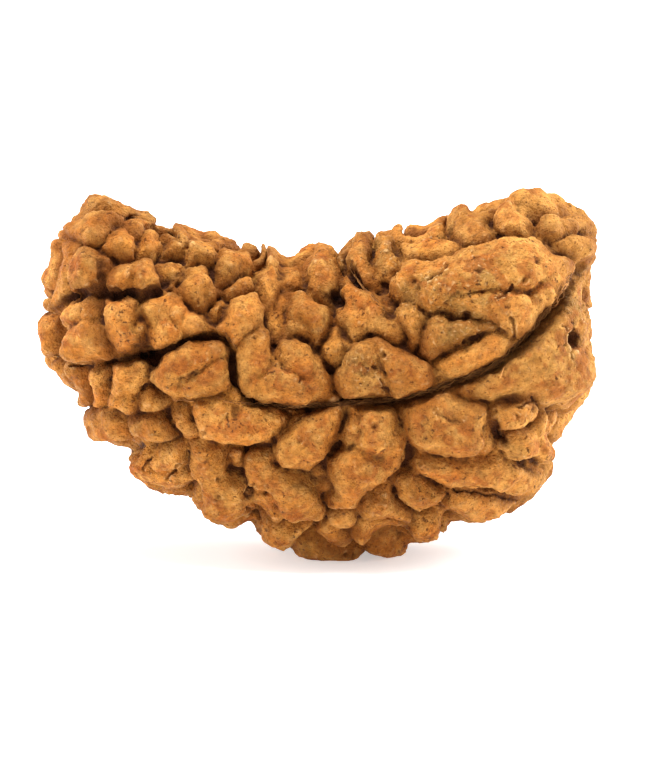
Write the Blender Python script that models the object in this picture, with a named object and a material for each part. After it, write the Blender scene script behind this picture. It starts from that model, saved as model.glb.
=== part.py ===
"""One mukhi rudraksha of the half-moon kind: the hard stone of the fruit, grown in one piece.

The stone is a smooth half-moon kernel, packed all over with swollen lumps that meet in narrow creases.
The lumps of the front face are drawn one by one on a front drawing, and those of the hidden sides follow
a seeded rule. A single line, the mukhi, runs from tip to tip as a groove, and a stalk scar opens beside the
right tip.

Shapes are drawn in millimetres, and the whole is brought to its length and to metres at the end. X runs
along the stone, Y away from the front face and Z up. The origin lies on the small flat spot that the stone
rests on, near its middle.
"""

import math
import random

import bmesh
import bpy
import numpy as np
from mathutils import Matrix, Vector, noise
from mathutils.bvhtree import BVHTree

LENGTH = 28.0
METRES_PER_MM = 0.001

# The front drawing looks down on the stone by this much. The foot stands this high in it.
DRAWING_TILT = math.radians(10)
FOOT_UP = 0.35
TO_VIEWER = Vector((0, -math.cos(DRAWING_TILT), math.sin(DRAWING_TILT)))
DRAWN_RIGHT = Vector((1, 0, 0))
DRAWN_UP = Vector((0, math.sin(DRAWING_TILT), math.cos(DRAWING_TILT)))

# A drawn place is aimed from this far off, in this many steps, at this share of the lump's height.
AIM_FROM = 40
AIM_STEPS = 8
SEEN_SHARE = 0.75

# Kernel sections along X: place, lowest point, highest point, half thickness.
KERNEL_SECTIONS = (
    (-12.7, 10.8, 13.2, 0.3),
    (-12.3, 9.9, 15.0, 1.9),
    (-11.3, 8.5, 16.7, 3.2),
    (-10.4, 7.6, 17.0, 3.9),
    (-9.0, 5.9, 16.0, 4.3),
    (-7.0, 4.5, 15.4, 4.7),
    (-5.0, 3.2, 15.2, 4.9),
    (-2.0, 1.7, 14.2, 5.0),
    (1.0, 1.0, 14.2, 5.0),
    (4.0, 1.5, 15.2, 5.0),
    (7.0, 2.8, 15.9, 5.0),
    (9.5, 3.5, 16.8, 4.7),
    (11.2, 6.8, 16.9, 3.9),
    (12.0, 8.8, 16.5, 2.9),
    (12.4, 10.0, 16.2, 1.9),
    (12.7, 13.0, 15.8, 0.4),
)
SECTION_SQUARENESS = 2.25
KERNEL_RINGS = 72
KERNEL_SIDES = 64
KERNEL_VOXEL = 0.19
KERNEL_SMOOTH_STEPS = 12
SMOOTH_FACTOR = 0.5

# Lumps of the front face: each is one or more chains of beads, and a bead is (across, up, half width).
FRONT_LUMPS = {
    "left_crown": [[(-11.3, 17.7, 0.65), (-10.7, 17.8, 0.7), (-10.0, 17.6, 0.65)]],
    "left_brow": [[(-10.9, 17.3, 0.5), (-11.4, 16.9, 0.7), (-11.3, 16.3, 0.7)]],
    "left_brow_knob": [[(-9.9, 16.2, 0.5), (-9.4, 15.7, 0.65)]],
    "left_tip_bud": [[(-12.8, 16.3, 0.45), (-13.0, 15.8, 0.4)]],
    "left_cheek": [
        [(-12.3, 15.2, 0.75), (-12.8, 14.5, 0.85), (-13.1, 13.6, 0.75), (-13.2, 13.0, 0.55)],
        [(-12.2, 14.6, 0.8), (-11.5, 14.5, 0.8), (-11.1, 14.1, 0.7)],
    ],
    "left_cushion": [[(-9.7, 14.1, 0.7), (-9.5, 14.0, 0.7)], [(-8.7, 14.2, 0.75), (-8.4, 13.8, 0.7)]],
    "left_cushion_shade": [[(-7.3, 14.7, 0.5), (-7.2, 14.2, 0.5)]],
    "rim_knob_a": [[(-8.7, 16.9, 0.5), (-8.9, 16.3, 0.5)]],
    "rim_rough_a": [[(-8.3, 16.1, 0.5), (-8.5, 15.5, 0.5)], [(-7.8, 15.8, 0.45)]],
    "rim_slab_a": [[(-6.9, 16.4, 0.5), (-7.1, 15.8, 0.55), (-7.2, 15.3, 0.45)]],
    "rim_slab_b": [[(-5.4, 16.1, 0.5), (-5.6, 15.6, 0.65), (-5.7, 15.2, 0.6)]],
    "leaf_lump": [[(-5.6, 14.5, 0.4), (-5.8, 13.9, 0.6), (-6.1, 13.2, 0.75)], [(-5.3, 13.2, 0.5)]],
    "rim_knob_b": [
        [(-3.7, 15.5, 0.45), (-4.1, 14.9, 0.7), (-4.5, 14.5, 0.6)],
        [(-4.7, 15.6, 0.45), (-4.3, 15.3, 0.45)],
    ],
    "egg_cap": [[(-4.1, 13.5, 0.4), (-3.6, 13.7, 0.45)]],
    "egg": [[(-3.6, 12.8, 0.7), (-3.8, 12.1, 0.85), (-4.1, 11.4, 0.7)]],
    "egg_shoulder": [[(-4.9, 12.9, 0.35), (-5.0, 12.3, 0.4)]],
    "rim_bud": [[(-2.8, 15.5, 0.35), (-2.8, 15.0, 0.35)]],
    "long_ridge": [[(-2.2, 15.2, 0.45), (-2.3, 14.4, 0.45), (-2.4, 13.6, 0.45), (-2.5, 12.9, 0.4)]],
    "saddle": [[(-1.5, 14.7, 0.4), (-1.3, 14.0, 0.45)]],
    "rim_crag": [
        [(-0.6, 15.3, 0.5), (0.0, 15.4, 0.55), (0.6, 15.1, 0.5)],
        [(0.1, 15.0, 0.65), (-0.1, 14.3, 0.75), (0.3, 13.7, 0.7)],
    ],
    "heart": [
        [(-1.1, 13.0, 0.55), (-0.9, 12.3, 0.8), (-0.3, 12.1, 0.8), (0.2, 11.9, 0.5)],
        [(-1.3, 11.8, 0.5), (-0.8, 11.7, 0.55)],
    ],
    "heart_fold": [[(-1.8, 12.9, 0.3), (-1.9, 12.1, 0.3), (-2.0, 11.5, 0.3)]],
    "bolster": [
        [(-5.1, 10.4, 0.75), (-5.8, 10.0, 0.85), (-6.5, 9.5, 0.95), (-7.3, 8.8, 0.85)],
        [(-6.5, 9.0, 0.8), (-5.6, 9.2, 0.85), (-5.0, 9.5, 0.75)],
    ],
    "mitten": [
        [(-3.3, 10.7, 0.7), (-3.2, 10.0, 0.75), (-2.9, 9.3, 0.85)],
        [(-2.9, 9.1, 0.85), (-2.0, 8.7, 0.8), (-1.0, 8.8, 0.9), (-0.3, 8.7, 0.6)],
        [(-0.9, 9.3, 0.8), (-1.1, 10.0, 0.65), (-1.2, 10.4, 0.6)],
    ],
    "loaf": [
        [(-5.2, 7.0, 1.0), (-4.4, 6.8, 1.1), (-3.5, 6.6, 0.95), (-2.6, 6.9, 0.7)],
        [(-4.0, 7.8, 0.45), (-4.1, 7.3, 0.6)],
    ],
    "loaf_end": [[(-6.9, 7.1, 0.5), (-6.4, 6.7, 0.55)]],
    "drop": [[(0.4, 7.2, 0.6), (-0.1, 6.6, 0.75), (-0.7, 6.0, 0.95), (-1.2, 5.4, 0.95)]],
    "ear": [[(0.9, 11.5, 0.4), (0.8, 10.9, 0.45), (0.9, 10.3, 0.35)]],
    "muzzle": [
        [(2.4, 10.3, 0.8), (1.8, 9.7, 0.8), (1.8, 9.0, 0.8), (2.6, 8.9, 0.7)],
        [(2.7, 10.7, 0.65), (3.3, 10.0, 0.8), (3.8, 9.3, 0.9), (4.6, 9.1, 0.65)],
    ],
    "brow_ridge": [
        [(1.3, 13.6, 0.45), (1.9, 12.8, 0.6), (2.5, 12.1, 0.7), (2.9, 11.5, 0.6), (3.6, 11.2, 0.4)],
        [(2.2, 12.1, 0.6), (1.6, 11.8, 0.65), (1.0, 12.0, 0.45)],
    ],
    "bright_knob": [[(2.1, 16.1, 0.55), (1.9, 15.4, 0.6), (1.9, 14.7, 0.5), (2.1, 14.1, 0.45)]],
    "bright_knob_side": [[(1.2, 15.4, 0.3), (1.1, 14.8, 0.3)]],
    "green_ridge": [[(2.9, 15.8, 0.45), (3.1, 15.2, 0.5), (3.4, 14.6, 0.4)]],
    "rim_crest": [
        [(3.9, 16.2, 0.55), (4.7, 16.3, 0.6), (5.5, 16.0, 0.55)],
        [(4.4, 15.6, 0.65), (5.3, 15.4, 0.65), (6.2, 15.4, 0.5)],
    ],
    "right_knob": [[(6.7, 17.1, 0.65), (7.4, 17.1, 0.65), (7.2, 16.5, 0.65), (7.8, 16.2, 0.55)]],
    "right_crown": [
        [(9.6, 17.6, 0.75), (10.5, 17.8, 0.8), (11.5, 17.5, 0.7)],
        [(9.2, 17.2, 0.65), (9.4, 16.8, 0.65), (10.0, 16.8, 0.6)],
    ],
    "right_brow": [[(10.9, 16.5, 0.5), (11.4, 16.8, 0.7), (12.2, 16.9, 0.7), (13.1, 16.6, 0.55)]],
    "slab": [
        [(4.4, 14.0, 0.8), (5.5, 13.8, 1.0), (7.2, 13.9, 1.3), (9.2, 14.3, 1.5), (10.6, 14.5, 1.2),
         (11.4, 15.0, 0.9)],
        [(6.8, 12.9, 0.9), (8.4, 12.9, 1.1), (9.6, 12.7, 1.0), (9.5, 11.9, 0.7), (10.1, 12.5, 0.75),
         (10.9, 13.6, 0.75), (11.6, 14.5, 0.7)],
    ],
    "slab_tip": [[(11.3, 15.2, 0.5), (12.2, 15.6, 0.5), (13.0, 15.9, 0.45), (13.5, 15.9, 0.35)]],
    "upper_finger": [[(5.4, 11.0, 0.7), (6.2, 11.4, 0.7), (7.1, 11.6, 0.65), (8.1, 11.7, 0.55)]],
    "lower_finger": [[(6.1, 9.7, 0.5), (6.8, 10.0, 0.6), (7.6, 10.3, 0.6), (8.6, 10.8, 0.55)]],
    "small_finger": [[(4.5, 12.3, 0.5), (4.5, 11.6, 0.5), (4.6, 11.1, 0.4)]],
    "stub": [[(-9.8, 12.4, 0.75), (-9.7, 11.6, 0.85), (-9.3, 10.9, 0.75)], [(-8.7, 11.5, 0.5)]],
    "anvil": [
        [(-8.2, 12.5, 0.6), (-7.5, 12.2, 0.75), (-6.7, 12.3, 0.7)],
        [(-7.5, 12.0, 0.75), (-7.4, 11.4, 0.7)],
        [(-6.2, 12.0, 0.65), (-5.8, 11.5, 0.55)],
    ],
    "jowl": [
        [(-12.0, 11.9, 0.65), (-11.4, 12.1, 0.7)],
        [(-11.5, 11.5, 0.85), (-11.7, 10.7, 0.9), (-10.9, 10.4, 0.6)],
    ],
    "left_edge": [[(-13.5, 11.6, 0.55), (-13.4, 10.8, 0.55)], [(-13.2, 9.9, 0.55), (-13.1, 9.5, 0.45)]],
    "strip_a": [[(-10.7, 9.4, 0.4), (-10.8, 8.6, 0.4), (-10.7, 7.9, 0.4)]],
    "strip_b": [[(-11.8, 9.2, 0.5), (-11.8, 8.4, 0.5), (-11.6, 7.8, 0.45)]],
    "leg": [
        [(-9.2, 9.6, 0.65), (-9.6, 8.8, 0.7), (-10.0, 8.0, 0.65)],
        [(-9.7, 8.2, 0.6), (-9.3, 7.7, 0.5)],
    ],
    "pebble_low": [[(-8.5, 7.8, 0.55), (-7.9, 8.0, 0.45)]],
    "low_left_knob": [[(-11.1, 7.0, 0.7), (-10.7, 6.7, 0.8), (-10.0, 6.6, 0.75)]],
    "low_left_fist": [[(-8.7, 6.6, 0.7), (-7.8, 6.4, 0.7)]],
    "low_left_jaw": [
        [(-8.8, 5.2, 0.75), (-8.5, 4.5, 0.8), (-7.6, 4.2, 0.75), (-6.8, 4.2, 0.65)],
        [(-7.9, 5.2, 0.55), (-7.1, 5.1, 0.7)],
    ],
    "low_long": [
        [(-5.6, 5.2, 0.8), (-5.2, 4.4, 1.0), (-4.9, 3.5, 1.0), (-4.5, 2.8, 1.0)],
        [(-5.9, 3.6, 0.6), (-5.7, 2.8, 0.5)],
    ],
    "low_long_side": [[(-4.1, 5.3, 0.45), (-4.3, 4.7, 0.45)]],
    "bell": [
        [(-3.1, 4.8, 0.75), (-2.6, 4.1, 0.85), (-1.8, 3.5, 1.0), (-1.1, 3.0, 0.95), (-0.8, 2.4, 0.7)],
        [(-2.5, 3.4, 0.8), (-2.5, 2.7, 0.7)],
    ],
    "bell_foot": [[(-2.3, 1.6, 0.7), (-1.5, 1.3, 0.75), (-0.8, 1.3, 0.6)]],
    "boot": [
        [(2.4, 7.0, 0.9), (2.6, 6.2, 1.05), (2.9, 5.3, 1.0)],
        [(2.9, 5.3, 1.0), (2.0, 4.5, 1.0), (1.3, 3.8, 1.0), (1.1, 3.2, 0.8)],
        [(1.8, 7.4, 0.5), (1.8, 6.5, 0.6)],
    ],
    "boot_back": [[(0.4, 4.4, 0.4), (0.4, 3.7, 0.45)]],
    "brick": [
        [(5.0, 7.1, 0.9), (5.6, 6.5, 1.0), (6.4, 6.3, 1.0), (7.2, 6.1, 1.0)],
        [(6.0, 7.5, 0.8), (7.0, 7.5, 0.8), (7.4, 6.9, 0.9)],
        [(7.8, 6.6, 0.5), (7.8, 5.7, 0.5)],
    ],
    "right_body": [
        [(13.3, 14.6, 0.45), (13.2, 13.6, 0.5), (12.8, 12.7, 0.65), (12.2, 12.0, 0.8), (11.4, 11.2, 0.9),
         (10.6, 10.4, 0.95), (9.6, 9.5, 0.85), (8.4, 8.7, 0.65), (7.2, 8.3, 0.55), (8.6, 8.4, 0.5),
         (9.8, 8.9, 0.7), (10.9, 9.4, 1.0), (11.8, 10.2, 1.0), (12.7, 11.0, 0.8), (13.3, 11.7, 0.5),
         (13.4, 10.4, 0.55), (12.8, 9.6, 1.0), (11.8, 9.2, 1.2), (11.0, 8.4, 0.8), (12.1, 8.1, 0.9)],
    ],
    "bright_ridge": [[(9.0, 7.2, 0.75), (9.7, 7.3, 0.8), (10.4, 7.3, 0.6)]],
    "wedge": [[(11.2, 6.9, 0.7), (10.9, 6.1, 0.85), (11.2, 5.4, 0.75)], [(11.8, 6.8, 0.5)]],
    "band": [
        [(5.4, 4.5, 0.65), (6.5, 4.4, 0.7), (7.5, 4.4, 0.7), (8.6, 4.3, 0.8), (9.6, 3.9, 0.75)],
        [(9.6, 3.9, 0.75), (10.4, 3.7, 0.65)],
    ],
    "band_top": [[(9.0, 5.4, 0.4), (9.3, 5.0, 0.4)]],
    "keel_right": [[(6.8, 2.9, 0.7), (7.7, 2.6, 0.8), (8.6, 2.7, 0.7), (9.3, 2.9, 0.5)]],
    "keel_mid": [[(4.5, 3.4, 0.75), (5.3, 3.1, 0.75)]],
    "keel_mid_low": [[(4.8, 1.8, 0.65), (5.5, 1.9, 0.75), (6.1, 2.0, 0.65)]],
    "heel": [[(3.1, 3.3, 0.6), (2.8, 2.4, 0.85), (3.6, 2.2, 0.8)]],
    "heel_low": [[(2.2, 1.2, 0.7), (3.0, 1.1, 0.65), (3.8, 1.4, 0.65)]],
    "sole": [[(0.2, 1.1, 0.65), (0.8, 0.8, 0.65)], [(1.2, 2.3, 0.4), (1.2, 1.7, 0.45)]],
}

# Lumps that stand out more, or less, than their width says: the share of that height.
STANDING_OUT = {
    "bolster": 1.15, "mitten": 1.15, "muzzle": 1.2, "egg": 1.2, "boot": 1.1, "drop": 1.1, "brick": 1.1,
    "left_cushion": 1.15, "left_brow": 1.1, "bright_knob": 1.1, "right_body": 0.85, "stub": 1.15,
    "anvil": 1.15, "jowl": 1.1, "left_cushion_shade": 0.7, "heart_fold": 0.6, "boot_back": 0.6,
}

# A lump's height comes from its half width.
RISE_LEAST = 0.6
RISE_PER_WIDTH = 1.0
RISE_MOST = 1.7

# Beads along a lobe stand apart by this share of their half width, and flow together over this width.
BEAD_SPACING = 0.4
BLEND_WIDTH = 0.07

# A footprint becomes a dome over this share of its half width, with a crease round it and folds in it.
DOME_SHARE = 0.75
CREASE_HALF_WIDTH = 0.08
FOLD_WIDTH = 0.3
FOLD_DEPTH = 0.28
POINTS_AT_ONCE = 2000
LARGEST_POWER = 80

# The outlines of the lumps wander by this much.
NOISE_SEED = 5
WANDER_LENGTH = 1.1
WANDER = 0.13

# Lumps of the back, top and ends, thrown at random from the widest to the narrowest.
HIDDEN_SEED = 17
HIDDEN_WIDTHS = (1.0, 0.9, 0.8, 0.7, 0.6, 0.5, 0.4)
HIDDEN_TRIES = 1500
HIDDEN_CLEARANCE = 0.88
HIDDEN_FACING = 0.12
HIDDEN_STRETCH = (0.3, 1.7)
HIDDEN_BEND = 0.6
HIDDEN_TAPER = 0.3
HIDDEN_STAND = (0.85, 1.12)
LUMP_STEPS = (-1, -0.5, 0, 0.5, 1)

# Hidden lumps fan out from above the saddle, give or take this scatter.
FAN_CENTRE = Vector((0.5, 0, 19.0))
FAN_SCATTER = 0.6

# More than half of the hidden lumps carry a narrower lobe on one side.
SIDE_LOBE_CHANCE = 0.6
SIDE_LOBE_PLACE = 0.8
SIDE_LOBE_WIDTH = (0.5, 0.75)
SIDE_LOBE_STEPS = (0.9, 1.3)

# The mukhi line on the front drawing, from the right tip to the left tip, with its half width there.
MUKHI_LINE = (
    (13.7, 15.5, 0.15), (12.9, 14.9, 0.16), (12.2, 14.2, 0.16), (11.5, 13.1, 0.16), (10.8, 12.1, 0.16),
    (10.1, 11.2, 0.16), (9.2, 10.4, 0.15), (8.2, 9.6, 0.14), (7.0, 9.1, 0.13), (5.8, 8.6, 0.12),
    (4.4, 8.1, 0.1), (2.8, 7.9, 0.08), (1.2, 8.0, 0.08), (-0.4, 7.7, 0.08), (-1.6, 7.8, 0.08),
    (-2.7, 7.9, 0.06), (-3.7, 8.3, 0.06), (-4.2, 9.2, 0.08), (-4.3, 10.3, 0.07), (-4.7, 11.0, 0.05),
    (-5.8, 11.0, 0.05), (-7.0, 10.6, 0.08), (-8.2, 10.3, 0.1), (-9.3, 10.1, 0.05), (-10.3, 9.9, 0.05),
)
LINE_DEPTH = 0.35
LINE_BLEND = 0.22

# The stalk scar is a round pit, drawn at the height that the surface has there.
STALK_SCAR = (12.65, 10.95)
SCAR_STANDS = 1.2
SCAR_HALF_WIDTH = 0.5
SCAR_DEPTH = 1.3
SCAR_ROUNDNESS = 0.7

# A slow wave runs through every surface.
WAVE_LENGTH = 1.3
WAVE_HEIGHT = 0.14

# Low beads of the foot, as (x, y), and how far the lowest of them reach under the floor plane.
FOOT_BEADS = ((-0.6, -0.7), (0.9, -0.8), (1.7, 0.5), (-0.3, 1.0), (0.7, 0.1))
FOOT_HALF_WIDTH = 1.0
FOOT_SINK = 0.28
FOOT_SUBDIVISIONS = 3

VOXEL = 0.14
SMOOTH_STEPS = 4
TRIANGLES = 11600
ON_THE_FLOOR = 1e-5

STONE_COLOUR = (0.42, 0.21, 0.07, 1.0)


def clear_scene():
    for thing in list(bpy.data.objects):
        bpy.data.objects.remove(thing)


def with_modifier(mesh, kind, **settings):
    """The mesh after one modifier."""
    holder = bpy.data.objects.new("holder", mesh)
    bpy.context.scene.collection.objects.link(holder)
    modifier = holder.modifiers.new(kind.lower(), kind)
    for name, value in settings.items():
        setattr(modifier, name, value)
    bpy.context.view_layer.update()
    graph = bpy.context.evaluated_depsgraph_get()
    result = bpy.data.meshes.new_from_object(holder.evaluated_get(graph))
    bpy.data.objects.remove(holder)
    return result


def bmesh_of(mesh):
    shape = bmesh.new()
    shape.from_mesh(mesh)
    return shape


def points_of(mesh):
    return np.array([vert.co for vert in mesh.vertices])


def move_points(mesh, points):
    mesh.vertices.foreach_set("co", points.astype(np.float32).ravel())
    mesh.update()


def kernel_mesh():
    """The smooth half-moon body under the lumps: rounded sections lofted along X, then evened out."""
    places, lows, highs, depths = np.array(KERNEL_SECTIONS).T
    shape = bmesh.new()
    rings = []
    turns = np.arange(KERNEL_SIDES) * 2 * math.pi / KERNEL_SIDES
    power = 2 / SECTION_SQUARENESS
    side = np.sign(np.cos(turns)) * np.abs(np.cos(turns)) ** power
    rise = np.sign(np.sin(turns)) * np.abs(np.sin(turns)) ** power
    for i in range(1, KERNEL_RINGS):
        x = places[0] + (places[-1] - places[0]) * (1 - math.cos(math.pi * i / KERNEL_RINGS)) / 2
        low, high, depth = (np.interp(x, places, values) for values in (lows, highs, depths))
        middle, half = (low + high) / 2, (high - low) / 2
        rings.append([shape.verts.new((x, -depth * s, middle + half * r)) for s, r in zip(side, rise)])
    for near, far in zip(rings, rings[1:]):
        for k in range(KERNEL_SIDES):
            after = (k + 1) % KERNEL_SIDES
            shape.faces.new((near[k], near[after], far[after], far[k]))
    shape.faces.new(rings[0][::-1])
    shape.faces.new(rings[-1])
    bmesh.ops.recalc_face_normals(shape, faces=shape.faces)
    mesh = bpy.data.meshes.new("kernel")
    shape.to_mesh(mesh)
    shape.free()
    mesh = with_modifier(mesh, "REMESH", mode="VOXEL", voxel_size=KERNEL_VOXEL)
    return with_modifier(mesh, "SMOOTH", iterations=KERNEL_SMOOTH_STEPS, factor=SMOOTH_FACTOR)


def on_kernel(tree, across, up, height):
    """The kernel point that carries what shows at a place of the front drawing, this high over the kernel."""
    seen = DRAWN_RIGHT * across + DRAWN_UP * (up - FOOT_UP)
    lean = Vector((0, 0, 0))
    for _ in range(AIM_STEPS):
        at = seen - lean
        point, normal, _, _ = tree.ray_cast(at + TO_VIEWER * AIM_FROM, -TO_VIEWER)
        if point is None:
            for _ in range(AIM_STEPS):
                point, normal, _, _ = tree.find_nearest(at)
                at = at + TO_VIEWER * (point - at).dot(TO_VIEWER)
        lean = lean.lerp((normal - TO_VIEWER * normal.dot(TO_VIEWER)) * height, 0.5)
    return point


def rise_of(half_width):
    return min(RISE_MOST, RISE_LEAST + RISE_PER_WIDTH * half_width)


def beads_between(nodes):
    """Beads close enough along a chain of nodes that together they make one smooth lobe."""
    beads = [nodes[0]]
    for near, far in zip(nodes, nodes[1:]):
        gap = math.dist(near[:2], far[:2])
        steps = max(1, math.ceil(gap / (BEAD_SPACING * min(near[2], far[2]))))
        for k in range(1, steps + 1):
            beads.append(tuple(a + (b - a) * k / steps for a, b in zip(near, far)))
    return beads


def front_lumps(tree):
    """Each drawn lump as its lobes, and each lobe as beads: (place on the kernel, half width, height)."""
    lumps = []
    for name, chains in FRONT_LUMPS.items():
        share = STANDING_OUT.get(name, 1.0)
        lobes = []
        for chain in chains:
            lobe = []
            for across, up, half_width in beads_between(chain):
                height = rise_of(half_width) * share
                lobe.append((on_kernel(tree, across, up, height * SEEN_SHARE), half_width, height))
            lobes.append(lobe)
        lumps.append(lobes)
    return lumps


def thrown_lump(rng, tree, face, half_width):
    """A bent lump across the stone, often with a lobe to one side."""
    along = (face.center - FAN_CENTRE).normalized() + Vector([rng.gauss(0, FAN_SCATTER) for _ in range(3)])
    along = (along - face.normal * along.dot(face.normal)).normalized()
    across = face.normal.cross(along)
    reach = half_width * rng.uniform(*HIDDEN_STRETCH)
    bend = rng.uniform(-HIDDEN_BEND, HIDDEN_BEND) * reach
    taper = rng.uniform(-HIDDEN_TAPER, HIDDEN_TAPER)
    stand = rng.uniform(*HIDDEN_STAND)

    def bead(forward, aside, width):
        place, _, _, _ = tree.find_nearest(face.center + along * forward + across * aside)
        return place, width, rise_of(width) * stand

    main = [bead(reach * t, bend * t * t, half_width * (1 + taper * t)) for t in LUMP_STEPS]
    if rng.random() > SIDE_LOBE_CHANCE:
        return [main]
    side = rng.choice((-1, 1))
    start = rng.uniform(-SIDE_LOBE_PLACE, SIDE_LOBE_PLACE) * reach
    width = half_width * rng.uniform(*SIDE_LOBE_WIDTH)
    return [main, [bead(start, side * half_width * share, width) for share in SIDE_LOBE_STEPS]]


def hidden_lumps(tree, kernel, front):
    """The lumps that the drawing doesn't show, each kept where it doesn't run into those before it."""
    rng = random.Random(HIDDEN_SEED)
    faces = [face for face in kernel.polygons if face.normal.dot(TO_VIEWER) < HIDDEN_FACING]
    areas = [face.area for face in faces]
    taken = np.array([bead[0] for lobes in front for lobe in lobes for bead in lobe])
    widths = np.array([bead[1] for lobes in front for lobe in lobes for bead in lobe])
    lumps = []
    for half_width in HIDDEN_WIDTHS:
        for face in rng.choices(faces, areas, k=HIDDEN_TRIES):
            lobes = thrown_lump(rng, tree, face, half_width)
            places = np.array([bead[0] for lobe in lobes for bead in lobe])
            reach = np.array([bead[1] for lobe in lobes for bead in lobe])
            gaps = np.linalg.norm(taken[None] - places[:, None], axis=2) - widths[None] * HIDDEN_CLEARANCE
            if (gaps.min(axis=1) < reach * HIDDEN_CLEARANCE).any():
                continue
            taken = np.vstack([taken, places])
            widths = np.append(widths, reach)
            lumps.append(lobes)
    return lumps


def rounded(share):
    """A quarter circle from 0 at 0 to 1 at 1 and past it."""
    return np.sqrt(1 - (1 - np.clip(share, 0, 1)) ** 2)


def best_two(inside):
    """The largest value of each row, the next largest, and the column of the largest."""
    rows = np.arange(len(inside))
    own = inside.argmax(axis=1)
    most = inside[rows, own]
    rest = inside.copy()
    rest[rows, own] = -np.inf
    return most, rest.max(axis=1), own


def lump_heights(points, lumps):
    """Height over each kernel point: domes, with creases between lumps and folds between lobes."""
    beads = [bead for lobes in lumps for lobe in lobes for bead in lobe]
    places = np.array([bead[0] for bead in beads], np.float32)
    widths = np.array([bead[1] for bead in beads], np.float32)
    heights = np.array([bead[2] for bead in beads])
    lobe_sizes = [len(lobe) for lobes in lumps for lobe in lobes]
    lobe_starts = np.cumsum([0] + lobe_sizes[:-1])
    lump_starts = np.cumsum([0] + [len(lobes) for lobes in lumps[:-1]])
    lump_of_lobe = np.repeat(np.arange(len(lumps)), [len(lobes) for lobes in lumps])
    result = np.empty(len(points))
    for begin in range(0, len(points), POINTS_AT_ONCE):
        part = points[begin : begin + POINTS_AT_ONCE].astype(np.float32)
        square = (part**2).sum(1)[:, None] + (places**2).sum(1)[None] - 2 * part @ places.T
        outside = np.sqrt(np.maximum(square, 0)) - widths
        nearest = outside.argmin(axis=1)
        weight = np.exp(np.clip(-outside / BLEND_WIDTH, -LARGEST_POWER, LARGEST_POWER))
        inside_lobe = BLEND_WIDTH * np.log(np.add.reduceat(weight, lobe_starts, axis=1))
        most, other, own = best_two(np.maximum.reduceat(inside_lobe, lump_starts, axis=1))
        inside_lobe[lump_of_lobe[None] != own[:, None]] = -np.inf
        first, second, _ = best_two(inside_lobe)
        depth = np.minimum((most - other) / 2 - CREASE_HALF_WIDTH, most)
        dome = rounded(depth / (widths[nearest] * DOME_SHARE))
        fold = np.clip((first - second) / 2 / FOLD_WIDTH, 0, 1)
        result[begin : begin + POINTS_AT_ONCE] = heights[nearest] * dome * (1 - FOLD_DEPTH * (1 - fold) ** 2)
    return result


def distance_to_line(points, line, widths):
    """Distance from each point to the sides of a line of points with a half width at each."""
    best = np.full(len(points), np.inf)
    for k in range(len(line) - 1):
        step = line[k + 1] - line[k]
        along = np.clip((points - line[k]) @ step / (step @ step), 0, 1)
        away = np.linalg.norm(points - line[k] - along[:, None] * step, axis=1)
        best = np.minimum(best, away - widths[k] - along * (widths[k + 1] - widths[k]))
    return best


def raise_lumps(kernel, tree):
    """Moves the kernel's points out to the lumps, and in along the mukhi line."""
    points = points_of(kernel)
    normals = np.array([vert.normal for vert in kernel.vertices])
    front = front_lumps(tree)
    wander = np.array([noise.noise_vector(Vector(point) / WANDER_LENGTH) for point in points]) * WANDER
    heights = lump_heights(points + wander, front + hidden_lumps(tree, kernel, front))
    line = np.array([on_kernel(tree, across, up, 0) for across, up, _ in MUKHI_LINE])
    beside = distance_to_line(points, line, [place[2] for place in MUKHI_LINE])
    heights *= rounded(beside / LINE_BLEND)
    heights -= LINE_DEPTH * np.clip(1 - beside / LINE_BLEND, 0, 1) ** 2
    move_points(kernel, points + normals * heights[:, None])


def add_foot(mesh):
    """Low broad lumps round the origin, which the floor plane trims to a flat spot."""
    shape = bmesh_of(mesh)
    height = rise_of(FOOT_HALF_WIDTH)
    for x, y in FOOT_BEADS:
        place = Matrix.Translation((x, y, height - FOOT_SINK))
        bead = Matrix.Diagonal((FOOT_HALF_WIDTH, FOOT_HALF_WIDTH, height, 1))
        bmesh.ops.create_icosphere(shape, subdivisions=FOOT_SUBDIVISIONS, radius=1, matrix=place @ bead)
    shape.to_mesh(mesh)
    shape.free()


def wave_and_scar(mesh, tree):
    """Gives every surface a slow wave, and opens the stalk scar."""
    points = points_of(mesh)
    scar = on_kernel(tree, *STALK_SCAR, SCAR_STANDS)
    _, scar_normal, _, _ = tree.find_nearest(scar)
    away = points - np.array(scar)
    depth = away @ np.array(scar_normal)
    beside = np.linalg.norm(away - np.outer(depth, scar_normal), axis=1)
    opening = np.clip(1 - beside / SCAR_HALF_WIDTH, 0, 1) * (depth > 0)
    wave = np.array([noise.noise_vector(Vector(point) / WAVE_LENGTH) for point in points])
    moved = points + wave * WAVE_HEIGHT - np.outer(SCAR_DEPTH * opening**SCAR_ROUNDNESS, scar_normal)
    move_points(mesh, moved)


def keep_largest_body(shape):
    """Removes any small bubble that the remeshing leaves inside."""
    left = set(shape.verts)
    bodies = []
    while left:
        stack = [left.pop()]
        body = set(stack)
        while stack:
            for edge in stack.pop().link_edges:
                for vert in edge.verts:
                    if vert in left:
                        left.discard(vert)
                        body.add(vert)
                        stack.append(vert)
        bodies.append(body)
    bodies.sort(key=len)
    loose = [vert for body in bodies[:-1] for vert in body]
    bmesh.ops.delete(shape, geom=loose, context="VERTS")


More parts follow.
